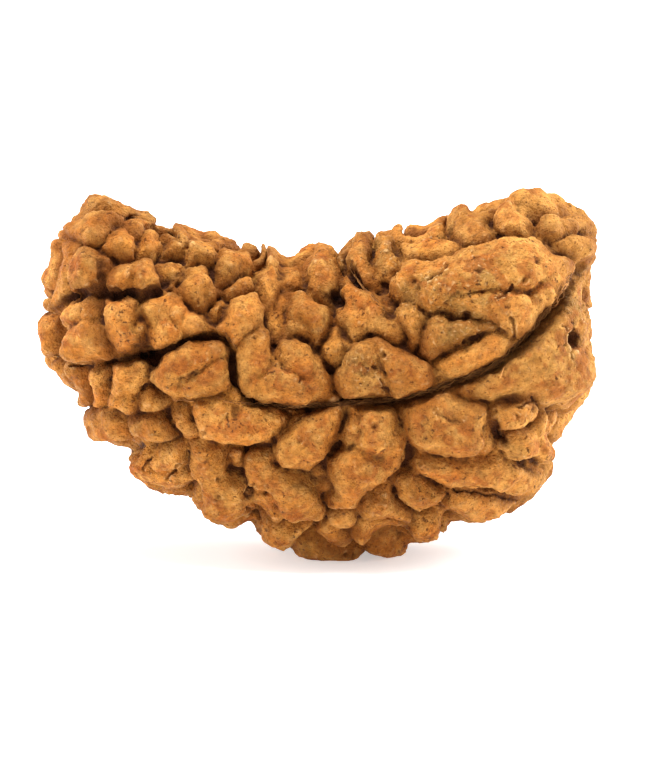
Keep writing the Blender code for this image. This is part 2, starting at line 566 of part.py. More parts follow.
def trim_foot(shape):
    """Cuts the underside flat at the floor plane and closes it."""
    everything = list(shape.verts) + list(shape.edges) + list(shape.faces)
    cut = bmesh.ops.bisect_plane(
        shape, geom=everything, dist=ON_THE_FLOOR, plane_co=(0, 0, 0), plane_no=(0, 0, 1), clear_inner=True
    )
    rim = [piece for piece in cut["geom_cut"] if isinstance(piece, bmesh.types.BMEdge)]
    bmesh.ops.holes_fill(shape, edges=rim, sides=0)
    bmesh.ops.triangulate(shape, faces=shape.faces)
    bmesh.ops.recalc_face_normals(shape, faces=shape.faces)


def stone_material():
    material = bpy.data.materials.new("rudraksha_shell")
    material.use_nodes = True
    surface = material.node_tree.nodes["Principled BSDF"]
    surface.inputs["Base Color"].default_value = STONE_COLOUR
    surface.inputs["Roughness"].default_value = 0.62
    surface.inputs["Metallic"].default_value = 0.0
    return material


def main():
    clear_scene()
    noise.seed_set(NOISE_SEED)
    kernel = kernel_mesh()
    corners = [vert.co for vert in kernel.vertices]
    tree = BVHTree.FromPolygons(corners, [face.vertices for face in kernel.polygons])
    raise_lumps(kernel, tree)
    add_foot(kernel)
    mesh = with_modifier(kernel, "REMESH", mode="VOXEL", voxel_size=VOXEL)
    wave_and_scar(mesh, tree)
    mesh = with_modifier(mesh, "SMOOTH", iterations=SMOOTH_STEPS, factor=SMOOTH_FACTOR)
    whole = bmesh_of(mesh)
    keep_largest_body(whole)
    bmesh.ops.triangulate(whole, faces=whole.faces)
    whole.to_mesh(mesh)
    mesh = with_modifier(mesh, "DECIMATE", ratio=TRIANGLES / len(mesh.polygons))
    whole = bmesh_of(mesh)
    trim_foot(whole)
    whole.to_mesh(mesh)
    drawn_length = np.ptp(points_of(mesh)[:, 0])
    mesh.transform(Matrix.Scale(METRES_PER_MM * LENGTH / drawn_length, 4))
    mesh.shade_smooth()
    mesh.materials.append(stone_material())
    stone = bpy.data.objects.new("rudraksha_stone", mesh)
    bpy.context.scene.collection.objects.link(stone)


main()
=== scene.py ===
# The one mukhi rudraksha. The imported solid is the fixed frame, and the fine shell stands for it.
import math
import random

import bmesh
import bpy
import numpy as np
from mathutils import Matrix, Vector, noise
from mathutils.bvhtree import BVHTree


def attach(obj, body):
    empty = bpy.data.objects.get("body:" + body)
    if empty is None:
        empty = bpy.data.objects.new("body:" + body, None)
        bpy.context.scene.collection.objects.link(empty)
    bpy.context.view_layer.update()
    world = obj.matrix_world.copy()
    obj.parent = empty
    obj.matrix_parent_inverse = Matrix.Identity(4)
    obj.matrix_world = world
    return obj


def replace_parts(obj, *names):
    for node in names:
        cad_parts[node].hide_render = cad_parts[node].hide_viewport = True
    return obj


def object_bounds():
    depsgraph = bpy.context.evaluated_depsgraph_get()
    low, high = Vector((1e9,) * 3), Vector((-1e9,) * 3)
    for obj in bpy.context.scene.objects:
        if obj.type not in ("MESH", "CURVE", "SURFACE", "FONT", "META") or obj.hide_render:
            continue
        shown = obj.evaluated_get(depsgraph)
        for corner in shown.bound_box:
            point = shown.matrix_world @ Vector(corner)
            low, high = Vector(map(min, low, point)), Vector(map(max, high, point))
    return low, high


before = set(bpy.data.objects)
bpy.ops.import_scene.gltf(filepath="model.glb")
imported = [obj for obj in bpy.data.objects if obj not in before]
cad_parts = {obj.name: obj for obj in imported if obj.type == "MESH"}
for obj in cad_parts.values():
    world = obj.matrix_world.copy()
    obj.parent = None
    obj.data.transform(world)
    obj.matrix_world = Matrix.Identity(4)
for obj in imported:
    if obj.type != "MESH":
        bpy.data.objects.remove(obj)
cadLow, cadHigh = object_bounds()
print("frame loaded")

# The front drawing is in millimetres: across and up, as the front face is seen.
drawing = {
    "tilt": math.radians(10),  # it looks down on the stone by this much
    "footUp": 0.35,  # height of the foot in it
    "seenShare": 0.75,  # how high on a lump its drawn place is
    "aimFrom": 40,
    "aimSteps": 8,
    "noiseSeed": 5,
}
toViewer = Vector((0, -math.cos(drawing["tilt"]), math.sin(drawing["tilt"])))
drawnRight = Vector((1, 0, 0))
drawnUp = Vector((0, math.sin(drawing["tilt"]), math.cos(drawing["tilt"])))

kernelShape = {
    "sections": (  # place along X, lowest point, highest point, half thickness
        (-12.7, 10.8, 13.2, 0.3),
        (-12.3, 9.9, 15.0, 1.9),
        (-11.3, 8.5, 16.7, 3.2),
        (-10.4, 7.6, 17.0, 3.9),
        (-9.0, 5.9, 16.0, 4.3),
        (-7.0, 4.5, 15.4, 4.7),
        (-5.0, 3.2, 15.2, 4.9),
        (-2.0, 1.7, 14.2, 5.0),
        (1.0, 1.0, 14.2, 5.0),
        (4.0, 1.5, 15.2, 5.0),
        (7.0, 2.8, 15.9, 5.0),
        (9.5, 3.5, 16.8, 4.7),
        (11.2, 6.8, 16.9, 3.9),
        (12.0, 8.8, 16.5, 2.9),
        (12.4, 10.0, 16.2, 1.9),
        (12.7, 13.0, 15.8, 0.4),
    ),
    "squareness": 2.25,
    "rings": 72,
    "sides": 64,
    "voxel": 0.19,
    "smoothSteps": 12,
}

# Lumps of the front face: each is one or more chains of beads, and a bead is (across, up, half width).
frontLumps = {
    "leftCrown": [[(-11.3, 17.7, 0.65), (-10.7, 17.8, 0.7), (-10.0, 17.6, 0.65)]],
    "leftBrow": [[(-10.9, 17.3, 0.5), (-11.4, 16.9, 0.7), (-11.3, 16.3, 0.7)]],
    "leftBrowKnob": [[(-9.9, 16.2, 0.5), (-9.4, 15.7, 0.65)]],
    "leftTipBud": [[(-12.8, 16.3, 0.45), (-13.0, 15.8, 0.4)]],
    "leftCheek": [
        [(-12.3, 15.2, 0.75), (-12.8, 14.5, 0.85), (-13.1, 13.6, 0.75), (-13.2, 13.0, 0.55)],
        [(-12.2, 14.6, 0.8), (-11.5, 14.5, 0.8), (-11.1, 14.1, 0.7)],
    ],
    "leftCushion": [[(-9.7, 14.1, 0.7), (-9.5, 14.0, 0.7)], [(-8.7, 14.2, 0.75), (-8.4, 13.8, 0.7)]],
    "leftCushionShade": [[(-7.3, 14.7, 0.5), (-7.2, 14.2, 0.5)]],
    "rimKnobA": [[(-8.7, 16.9, 0.5), (-8.9, 16.3, 0.5)]],
    "rimRoughA": [[(-8.3, 16.1, 0.5), (-8.5, 15.5, 0.5)], [(-7.8, 15.8, 0.45)]],
    "rimSlabA": [[(-6.9, 16.4, 0.5), (-7.1, 15.8, 0.55), (-7.2, 15.3, 0.45)]],
    "rimSlabB": [[(-5.4, 16.1, 0.5), (-5.6, 15.6, 0.65), (-5.7, 15.2, 0.6)]],
    "leafLump": [[(-5.6, 14.5, 0.4), (-5.8, 13.9, 0.6), (-6.1, 13.2, 0.75)], [(-5.3, 13.2, 0.5)]],
    "rimKnobB": [
        [(-3.7, 15.5, 0.45), (-4.1, 14.9, 0.7), (-4.5, 14.5, 0.6)],
        [(-4.7, 15.6, 0.45), (-4.3, 15.3, 0.45)],
    ],
    "eggCap": [[(-4.1, 13.5, 0.4), (-3.6, 13.7, 0.45)]],
    "egg": [[(-3.6, 12.8, 0.7), (-3.8, 12.1, 0.85), (-4.1, 11.4, 0.7)]],
    "eggShoulder": [[(-4.9, 12.9, 0.35), (-5.0, 12.3, 0.4)]],
    "rimBud": [[(-2.75, 15.5, 0.42), (-2.8, 15.0, 0.38)]],
    "longRidge": [[(-2.2, 15.2, 0.45), (-2.3, 14.4, 0.45), (-2.4, 13.6, 0.45), (-2.5, 12.9, 0.4)]],
    "saddle": [[(-1.5, 14.7, 0.4), (-1.3, 14.0, 0.45)]],
    "rimCrag": [
        [(-0.6, 15.3, 0.5), (0.0, 15.4, 0.55), (0.6, 15.1, 0.5)],
        [(0.1, 15.0, 0.65), (-0.1, 14.3, 0.75), (0.3, 13.7, 0.7)],
    ],
    "heart": [
        [(-1.1, 13.0, 0.55), (-0.9, 12.3, 0.8), (-0.3, 12.1, 0.8), (0.2, 11.9, 0.5)],
        [(-1.3, 11.8, 0.5), (-0.8, 11.7, 0.55)],
    ],
    "heartFold": [[(-1.8, 12.9, 0.3), (-1.9, 12.1, 0.3), (-2.0, 11.5, 0.3)]],
    "bolster": [
        [(-5.1, 10.4, 0.75), (-5.8, 10.0, 0.85), (-6.5, 9.5, 0.95), (-7.3, 8.8, 0.85)],
        [(-6.5, 9.0, 0.8), (-5.6, 9.2, 0.85), (-5.0, 9.5, 0.75)],
    ],
    "mitten": [
        [(-3.3, 10.7, 0.7), (-3.2, 10.0, 0.75), (-2.9, 9.3, 0.85)],
        [(-2.9, 9.1, 0.85), (-2.0, 8.7, 0.8), (-1.0, 8.8, 0.9), (-0.3, 8.7, 0.6)],
        [(-0.9, 9.3, 0.8), (-1.1, 10.0, 0.65), (-1.2, 10.4, 0.6)],
    ],
    "loaf": [
        [(-5.2, 7.0, 1.0), (-4.4, 6.8, 1.1), (-3.5, 6.6, 0.95), (-2.6, 6.9, 0.7)],
        [(-4.0, 7.8, 0.45), (-4.1, 7.3, 0.6)],
    ],
    "loafEnd": [[(-6.9, 7.1, 0.5), (-6.4, 6.7, 0.55)]],
    "drop": [[(0.4, 7.2, 0.6), (-0.1, 6.6, 0.75), (-0.7, 6.0, 0.95), (-1.2, 5.4, 0.95)]],
    "ear": [[(0.9, 11.5, 0.4), (0.8, 10.9, 0.45), (0.9, 10.3, 0.35)]],
    "muzzle": [
        [(2.4, 10.3, 0.8), (1.8, 9.7, 0.8), (1.8, 9.0, 0.8), (2.6, 8.9, 0.7)],
        [(2.7, 10.7, 0.65), (3.3, 10.0, 0.8), (3.8, 9.3, 0.9), (4.6, 9.1, 0.65)],
    ],
    "browRidge": [
        [(1.3, 13.6, 0.45), (1.9, 12.8, 0.6), (2.5, 12.1, 0.7), (2.9, 11.5, 0.6), (3.6, 11.2, 0.4)],
        [(2.2, 12.1, 0.6), (1.6, 11.8, 0.65), (1.0, 12.0, 0.45)],
    ],
    "brightKnob": [[(2.1, 16.1, 0.55), (1.9, 15.4, 0.6), (1.9, 14.7, 0.5), (2.1, 14.1, 0.45)]],
    "brightKnobSide": [[(1.2, 15.4, 0.3), (1.1, 14.8, 0.3)]],
    "greenRidge": [[(2.9, 15.8, 0.45), (3.1, 15.2, 0.5), (3.4, 14.6, 0.4)]],
    "rimCrest": [
        [(3.9, 16.2, 0.55), (4.7, 16.3, 0.6), (5.5, 16.0, 0.55)],
        [(4.4, 15.6, 0.65), (5.3, 15.4, 0.65), (6.2, 15.4, 0.5)],
    ],
    "rightKnob": [[(6.75, 17.0, 0.75), (7.5, 17.1, 0.75), (7.1, 16.4, 0.7), (7.8, 16.2, 0.55)]],
    "rightCrown": [
        [(9.6, 17.6, 0.75), (10.5, 17.8, 0.8), (11.5, 17.5, 0.7)],
        [(9.2, 17.2, 0.65), (9.4, 16.8, 0.65), (10.0, 16.8, 0.6)],
    ],
    "rightBrow": [[(10.9, 16.5, 0.5), (11.4, 16.8, 0.7), (12.2, 16.9, 0.7), (13.1, 16.6, 0.55)]],
    "slab": [
        [(4.4, 14.0, 0.8), (5.5, 13.8, 1.0), (7.2, 13.9, 1.3), (9.2, 14.3, 1.5), (10.6, 14.5, 1.2),
         (11.4, 15.0, 0.9)],
        [(6.8, 12.9, 0.9), (8.4, 12.9, 1.1), (9.6, 12.7, 1.0), (9.5, 11.9, 0.7), (10.1, 12.5, 0.75),
         (10.9, 13.6, 0.75), (11.6, 14.5, 0.7)],
    ],
    "slabTip": [[(11.3, 15.2, 0.5), (12.2, 15.6, 0.5), (13.0, 15.9, 0.45), (13.5, 15.9, 0.35)]],
    "upperFinger": [[(5.4, 11.0, 0.7), (6.2, 11.4, 0.7), (7.1, 11.6, 0.65), (8.1, 11.7, 0.55)]],
    "lowerFinger": [[(6.1, 9.7, 0.5), (6.8, 10.0, 0.6), (7.6, 10.3, 0.6), (8.6, 10.8, 0.55)]],
    "smallFinger": [[(4.5, 12.3, 0.5), (4.5, 11.6, 0.5), (4.6, 11.1, 0.4)]],
    "stub": [[(-9.8, 12.4, 0.75), (-9.7, 11.6, 0.85), (-9.3, 10.9, 0.75)], [(-8.7, 11.5, 0.5)]],
    "anvil": [
        [(-8.2, 12.5, 0.6), (-7.5, 12.2, 0.75), (-6.7, 12.3, 0.7)],
        [(-7.5, 12.0, 0.75), (-7.4, 11.4, 0.7)],
        [(-6.2, 12.0, 0.65), (-5.8, 11.5, 0.55)],
    ],
    "jowl": [
        [(-12.0, 11.9, 0.65), (-11.4, 12.1, 0.7)],
        [(-11.5, 11.5, 0.85), (-11.7, 10.7, 0.9), (-10.9, 10.4, 0.6)],
    ],
    "leftEdge": [[(-13.5, 11.6, 0.55), (-13.4, 10.8, 0.55)], [(-13.2, 9.9, 0.55), (-13.1, 9.5, 0.45)]],
    "stripA": [[(-10.7, 9.4, 0.4), (-10.8, 8.6, 0.4), (-10.7, 7.9, 0.4)]],
    "stripB": [[(-11.8, 9.2, 0.5), (-11.8, 8.4, 0.5), (-11.6, 7.8, 0.45)]],
    "leg": [
        [(-9.2, 9.6, 0.65), (-9.6, 8.8, 0.7), (-10.0, 8.0, 0.65)],
        [(-9.7, 8.2, 0.6), (-9.3, 7.7, 0.5)],
    ],
    "pebbleLow": [[(-8.5, 7.8, 0.55), (-7.9, 8.0, 0.45)]],
    "lowLeftKnob": [[(-11.1, 7.0, 0.7), (-10.7, 6.7, 0.8), (-10.0, 6.6, 0.75)]],
    "lowLeftFist": [[(-8.7, 6.6, 0.7), (-7.8, 6.4, 0.7)]],
    "lowLeftJaw": [
        [(-8.8, 5.2, 0.75), (-8.5, 4.5, 0.8), (-7.6, 4.2, 0.75), (-6.8, 4.2, 0.65)],
        [(-7.9, 5.2, 0.55), (-7.1, 5.1, 0.7)],
    ],
    "lowLong": [
        [(-5.6, 5.2, 0.8), (-5.2, 4.4, 1.0), (-4.9, 3.5, 1.0), (-4.5, 2.8, 1.0)],
        [(-5.9, 3.6, 0.6), (-5.7, 2.8, 0.5)],
    ],
    "lowLongSide": [[(-4.1, 5.3, 0.45), (-4.3, 4.7, 0.45)]],
    "bell": [
        [(-3.1, 4.8, 0.75), (-2.6, 4.1, 0.85), (-1.8, 3.5, 1.0), (-1.1, 3.0, 0.95), (-0.8, 2.4, 0.7)],
        [(-2.5, 3.4, 0.8), (-2.5, 2.7, 0.7)],
    ],
    "bellFoot": [[(-2.3, 1.6, 0.7), (-1.5, 1.3, 0.75), (-0.8, 1.3, 0.6)]],
    "boot": [
        [(2.4, 7.0, 0.9), (2.6, 6.2, 1.05), (2.9, 5.3, 1.0)],
        [(2.9, 5.3, 1.0), (2.0, 4.5, 1.0), (1.3, 3.8, 1.0), (1.1, 3.2, 0.8)],
        [(1.8, 7.4, 0.5), (1.8, 6.5, 0.6)],
    ],
    "bootBack": [[(0.4, 4.4, 0.4), (0.4, 3.7, 0.45)]],
    "brick": [
        [(5.0, 7.1, 0.9), (5.6, 6.5, 1.0), (6.4, 6.3, 1.0), (7.2, 6.1, 1.0), (7.4, 6.9, 0.95), (7.0, 7.5, 0.8),
         (6.0, 7.5, 0.8)],
        [(7.85, 6.8, 0.45), (7.9, 6.2, 0.4), (7.9, 5.6, 0.4)],
    ],
    "rightBody": [
        [(13.3, 14.6, 0.45), (13.2, 13.6, 0.5), (12.8, 12.7, 0.65), (12.2, 12.0, 0.8), (11.4, 11.2, 0.9),
         (10.6, 10.4, 0.95), (9.6, 9.5, 0.85), (8.4, 8.7, 0.65), (7.2, 8.3, 0.55), (8.6, 8.4, 0.5),
         (9.8, 8.9, 0.7), (10.9, 9.4, 1.0), (11.8, 10.2, 1.0), (12.7, 11.0, 0.8), (13.3, 11.7, 0.5),
         (13.4, 10.4, 0.55), (12.8, 9.6, 1.0), (11.8, 9.2, 1.2), (11.0, 8.4, 0.8), (12.1, 8.1, 0.9)],
    ],
    "brightRidge": [[(9.0, 7.2, 0.75), (9.7, 7.3, 0.8), (10.4, 7.3, 0.6)]],
    "wedge": [
        [(11.2, 6.9, 0.7), (10.9, 6.1, 0.85), (11.2, 5.4, 0.75)],
        [(11.8, 6.8, 0.5)],
        [(10.9, 6.1, 0.85), (10.1, 5.8, 0.75), (9.6, 6.0, 0.5)],
    ],
    "band": [
        [(5.4, 4.5, 0.65), (6.5, 4.4, 0.7), (7.5, 4.4, 0.7), (8.6, 4.3, 0.8), (9.6, 3.9, 0.75)],
        [(9.6, 3.9, 0.75), (10.4, 3.7, 0.65)],
    ],
    "keelRight": [[(6.8, 2.9, 0.7), (7.7, 2.6, 0.8), (8.6, 2.7, 0.7), (9.3, 2.9, 0.5)]],
    "keelMid": [[(4.5, 3.4, 0.75), (5.3, 3.1, 0.75)]],
    "keelMidLow": [[(4.8, 1.8, 0.65), (5.5, 1.9, 0.75), (6.1, 2.0, 0.65)]],
    "heel": [[(3.1, 3.3, 0.6), (2.8, 2.4, 0.85), (3.6, 2.2, 0.8)]],
    "heelLow": [[(2.2, 1.2, 0.7), (2.9, 1.2, 0.6), (3.7, 1.6, 0.65)]],
    "sole": [[(0.2, 1.1, 0.65), (0.8, 0.8, 0.65)], [(1.2, 2.3, 0.4), (1.2, 1.7, 0.45)]],
}

# Lumps that stand out more, or less, than their width says: the share of that height.
standingOut = {
    "bolster": 1.15, "mitten": 1.15, "muzzle": 1.2, "egg": 1.2, "boot": 1.1, "drop": 1.1, "brick": 1.1,
    "leftCushion": 1.15, "leftBrow": 1.1, "brightKnob": 1.1, "rightBody": 0.85, "stub": 1.15,
    "anvil": 1.15, "jowl": 1.1, "leftCushionShade": 0.7, "heartFold": 0.6, "bootBack": 0.6,
}

# The mukhi line, from the right tip to the left tip: across, up, half width.
mukhiLine = (
    (13.7, 15.5, 0.15), (12.9, 14.9, 0.16), (12.2, 14.2, 0.16), (11.5, 13.1, 0.16), (10.8, 12.1, 0.16),
    (10.1, 11.2, 0.16), (9.2, 10.4, 0.15), (8.2, 9.6, 0.14), (7.0, 9.1, 0.13), (5.8, 8.6, 0.12),
    (4.4, 8.1, 0.1), (2.8, 7.9, 0.08), (1.2, 8.0, 0.08), (-0.4, 7.7, 0.08), (-1.6, 7.8, 0.08),
    (-2.7, 7.9, 0.06), (-3.7, 8.3, 0.06), (-4.2, 9.2, 0.08), (-4.3, 10.3, 0.07), (-4.7, 11.0, 0.05),
    (-5.8, 11.0, 0.05), (-7.0, 10.6, 0.08), (-8.2, 10.3, 0.1), (-9.3, 10.1, 0.05), (-10.3, 9.9, 0.05),
)

lumpShape = {
    "riseLeast": 0.6,
    "risePerWidth": 1.0,
    "riseMost": 1.7,
    "beadSpacing": 0.4,
    "blendWidth": 0.07,
    "domeShare": 0.75,
    "creaseHalfWidth": 0.06,
    "foldWidth": 0.3,
    "foldDepth": 0.28,
    "wanderLength": 1.1,
    "wander": 0.13,
    "lineDepth": 0.45,
    "lineBlend": 0.16,
    "spread": 0.32,  # a lump fills this much of a gap beside it
    "fuseLength": 2.3,  # creases are shallower in some places, where lumps have grown together
    "fuseMean": 0.76,
    "fuseChange": 0.6,
    "fuseLeast": 0.32,
    "batch": 2000,
    "exponentLimit": 80,
}

hiddenLumps = {
    "seed": 17,
    "widths": (1.0, 0.9, 0.8, 0.7, 0.6, 0.5, 0.4),
    "tries": 1500,
    "clearance": 0.88,
    "facing": 0.12,
    "stretch": (0.3, 1.7),
    "bend": 0.6,
    "taper": 0.3,
    "stand": (0.85, 1.12),
    "steps": (-1, -0.5, 0, 0.5, 1),
    "fanCentre": Vector((0.5, 0, 19.0)),
    "fanScatter": 0.6,
    "lobeChance": 0.6,
    "lobePlace": 0.8,
    "lobeWidth": (0.5, 0.75),
    "lobeSteps": (0.9, 1.3),
}

body = {
    "voxel": 0.095,
    "scar": (12.35, 10.95),
    "scarStands": 1.2,
    "scarHalfWidth": 0.48,
    "scarDepth": 1.3,
    "scarRoundness": 0.7,
    "waveLength": 1.3,
    "wave": 0.14,
    "footBeads": ((-0.6, -0.7), (0.9, -0.8), (1.7, 0.5), (-0.3, 1.0), (0.7, 0.1)),
    "footHalfWidth": 1.0,
    "footSink": 0.28,
    "triangles": 192000,
    "smoothSteps": 2,
    "wearSteps": 30,
    "wearAbove": 0.26,
    "wear": 0.75,
    "nearShare": 0.98,  # what is stored on a point comes mostly from the nearest point below it
    "nearLeast": 1e-4,
    "tintSeed": 3,
}


def linked(name, data):
    thing = bpy.data.objects.new(name, data)
    bpy.context.scene.collection.objects.link(thing)
    return thing


def plainMesh(holder):  # what a holder's modifier makes
    bpy.context.view_layer.update()
    graph = bpy.context.evaluated_depsgraph_get()
    result = bpy.data.meshes.new_from_object(holder.evaluated_get(graph))
    bpy.data.objects.remove(holder)
    return result


def withModifier(mesh, kind, **settings):
    holder = linked("holder", mesh)
    modifier = holder.modifiers.new(kind.lower(), kind)
    for name, value in settings.items():
        setattr(modifier, name, value)
    return plainMesh(holder)


def searchTree(mesh):
    return BVHTree.FromPolygons([v.co for v in mesh.vertices], [f.vertices for f in mesh.polygons])


def readVectors(rows, name):
    values = np.empty(len(rows) * 3, np.float32)
    rows.foreach_get(name, values)
    return values.reshape(-1, 3).astype(np.float64)


def pointsOf(mesh):
    return readVectors(mesh.vertices, "co")


def normalsOf(mesh):
    return readVectors(mesh.vertex_normals, "vector")


def movePoints(mesh, points):
    mesh.vertices.foreach_set("co", points.astype(np.float32).ravel())
    mesh.update()


def kernelMesh():
    k = kernelShape
    places, lows, highs, depths = np.array(k["sections"]).T
    turns = np.arange(k["sides"]) * 2 * math.pi / k["sides"]
    power = 2 / k["squareness"]
    side = np.sign(np.cos(turns)) * np.abs(np.cos(turns)) ** power
    rise = np.sign(np.sin(turns)) * np.abs(np.sin(turns)) ** power
    points = []
    faces = []
    count = k["sides"]
    rings = k["rings"] - 1
    for i in range(1, k["rings"]):
        x = places[0] + (places[-1] - places[0]) * (1 - math.cos(math.pi * i / k["rings"])) / 2
        low, high, depth = (np.interp(x, places, values) for values in (lows, highs, depths))
        middle, half = (low + high) / 2, (high - low) / 2
        points += [(x, -depth * s, middle + half * r) for s, r in zip(side, rise)]
    for i in range(rings - 1):
        for j in range(count):
            after = (j + 1) % count
            faces.append((i * count + j, (i + 1) * count + j, (i + 1) * count + after, i * count + after))
    faces.append((count - 1, *range(count - 1)))
    faces.append(((rings - 1) * count, *reversed(range((rings - 1) * count + 1, rings * count))))
    mesh = bpy.data.meshes.new("kernel")
    mesh.from_pydata(points, [], faces)
    mesh.update()
    mesh = withModifier(mesh, "REMESH", mode="VOXEL", voxel_size=k["voxel"])
    return withModifier(mesh, "SMOOTH", iterations=k["smoothSteps"], factor=0.5)


def onKernel(tree, across, up, height):
    seen = drawnRight * across + drawnUp * (up - drawing["footUp"])
    lean = Vector((0, 0, 0))
    for _ in range(drawing["aimSteps"]):
        at = seen - lean
        point, normal, _, _ = tree.ray_cast(at + toViewer * drawing["aimFrom"], -toViewer)
        if point is None:  # past the kernel's edge: the nearest place on it
            for _ in range(drawing["aimSteps"]):
                point, normal, _, _ = tree.find_nearest(at)
                at = at + toViewer * (point - at).dot(toViewer)
        lean = lean.lerp((normal - toViewer * normal.dot(toViewer)) * height, 0.5)
    return point


def riseOf(halfWidth):
    return min(lumpShape["riseMost"], lumpShape["riseLeast"] + lumpShape["risePerWidth"] * halfWidth)


def beadsBetween(nodes):
    beads = [nodes[0]]
    for near, far in zip(nodes, nodes[1:]):
        gap = math.dist(near[:2], far[:2])
        steps = max(1, math.ceil(gap / (lumpShape["beadSpacing"] * min(near[2], far[2]))))
        for k in range(1, steps + 1):
            beads.append(tuple(a + (b - a) * k / steps for a, b in zip(near, far)))
    return beads


def drawnLumps(tree):
    lumps = []
    for name, chains in frontLumps.items():
        share = standingOut.get(name, 1.0)
        lobes = []
        for chain in chains:
            lobe = []
            for across, up, halfWidth in beadsBetween(chain):
                height = riseOf(halfWidth) * share
                lobe.append((onKernel(tree, across, up, height * drawing["seenShare"]), halfWidth, height))
            lobes.append(lobe)
        lumps.append(lobes)
    return lumps


def thrownLump(rng, tree, face, halfWidth):
    h = hiddenLumps
    along = (face.center - h["fanCentre"]).normalized()
    along += Vector([rng.gauss(0, h["fanScatter"]) for _ in range(3)])
    along = (along - face.normal * along.dot(face.normal)).normalized()
    across = face.normal.cross(along)
    reach = halfWidth * rng.uniform(*h["stretch"])
    bend = rng.uniform(-h["bend"], h["bend"]) * reach
    taper = rng.uniform(-h["taper"], h["taper"])
    stand = rng.uniform(*h["stand"])

    def bead(forward, aside, width):
        place, _, _, _ = tree.find_nearest(face.center + along * forward + across * aside)
        return place, width, riseOf(width) * stand

    main = [bead(reach * t, bend * t * t, halfWidth * (1 + taper * t)) for t in h["steps"]]
    if rng.random() > h["lobeChance"]:
        return [main]
    side = rng.choice((-1, 1))
    start = rng.uniform(-h["lobePlace"], h["lobePlace"]) * reach
    width = halfWidth * rng.uniform(*h["lobeWidth"])
    return [main, [bead(start, side * halfWidth * share, width) for share in h["lobeSteps"]]]


def throwLumps(tree, mesh, front):
    h = hiddenLumps
    rng = random.Random(h["seed"])
    faces = [face for face in mesh.polygons if face.normal.dot(toViewer) < h["facing"]]
    areas = [face.area for face in faces]
    taken = np.array([bead[0] for lobes in front for lobe in lobes for bead in lobe])
    widths = np.array([bead[1] for lobes in front for lobe in lobes for bead in lobe])
    lumps = []
    for halfWidth in h["widths"]:
        for face in rng.choices(faces, areas, k=h["tries"]):
            lobes = thrownLump(rng, tree, face, halfWidth)
            places = np.array([bead[0] for lobe in lobes for bead in lobe])
            reach = np.array([bead[1] for lobe in lobes for bead in lobe])
            gaps = np.linalg.norm(taken[None] - places[:, None], axis=2) - widths[None] * h["clearance"]
            if (gaps.min(axis=1) < reach * h["clearance"]).any():
                continue
            taken = np.vstack([taken, places])
            widths = np.append(widths, reach)
            lumps.append(lobes)
    return lumps


def rounded(share):
    return np.sqrt(1 - (1 - np.clip(share, 0, 1)) ** 2)


def bestTwo(inside):
    rows = np.arange(len(inside))
    own = inside.argmax(axis=1)
    most = inside[rows, own]
    rest = inside.copy()
    rest[rows, own] = -np.inf
    return most, rest.max(axis=1), own


def lumpField(points, lumps):  # height, distance in from the crease, and which lump, for each kernel point
    s = lumpShape
    beads = [bead for lobes in lumps for lobe in lobes for bead in lobe]
    places = np.array([bead[0] for bead in beads], np.float32)
    widths = np.array([bead[1] for bead in beads], np.float32)
    heights = np.array([bead[2] for bead in beads])
    lobeStarts = np.cumsum([0] + [len(lobe) for lobes in lumps for lobe in lobes][:-1])
    lumpStarts = np.cumsum([0] + [len(lobes) for lobes in lumps[:-1]])
    lumpOfLobe = np.repeat(np.arange(len(lumps)), [len(lobes) for lobes in lumps])
    fused = noiseVectors(points, s["fuseLength"])[:, 0] * s["fuseChange"] + s["fuseMean"]
    fused = np.clip(fused, s["fuseLeast"], 1)
    height = np.empty(len(points))
    inward = np.empty(len(points))
    owner = np.empty(len(points), int)
    limit = s["exponentLimit"]
    for begin in range(0, len(points), s["batch"]):
        now = slice(begin, begin + s["batch"])
        part = points[now].astype(np.float32)
        square = (part**2).sum(1)[:, None] + (places**2).sum(1)[None] - 2 * part @ places.T
        outside = np.sqrt(np.maximum(square, 0)) - widths
        nearest = outside.argmin(axis=1)
        weight = np.exp(np.clip(-outside / s["blendWidth"], -limit, limit))
        insideLobe = s["blendWidth"] * np.log(np.add.reduceat(weight, lobeStarts, axis=1))
        most, other, own = bestTwo(np.maximum.reduceat(insideLobe, lumpStarts, axis=1))
        insideLobe[lumpOfLobe[None] != own[:, None]] = -np.inf
        first, second, _ = bestTwo(insideLobe)
        toOther = (most - other) / 2 - s["creaseHalfWidth"]
        toGap = most + s["spread"]
        reach = (widths[nearest] + s["spread"]) * s["domeShare"]
        crease = 1 - fused[now] * (1 - rounded(toOther / reach))
        dome = np.minimum(crease, rounded(toGap / reach))
        fold = np.clip((first - second) / 2 / s["foldWidth"], 0, 1)
        height[now] = heights[nearest] * dome * (1 - s["foldDepth"] * (1 - fold) ** 2)
        inward[now] = np.minimum(toOther, toGap)
        owner[now] = own
    return height, inward, owner


def distanceToLine(points, line, widths):
    best = np.full(len(points), np.inf)
    for k in range(len(line) - 1):
        step = line[k + 1] - line[k]
        along = np.clip((points - line[k]) @ step / (step @ step), 0, 1)
        away = np.linalg.norm(points - line[k] - along[:, None] * step, axis=1)
        best = np.minimum(best, away - widths[k] - along * (widths[k + 1] - widths[k]))
    return best


def noiseVectors(points, length):
    return np.array([noise.noise_vector(Vector(point) / length) for point in points])


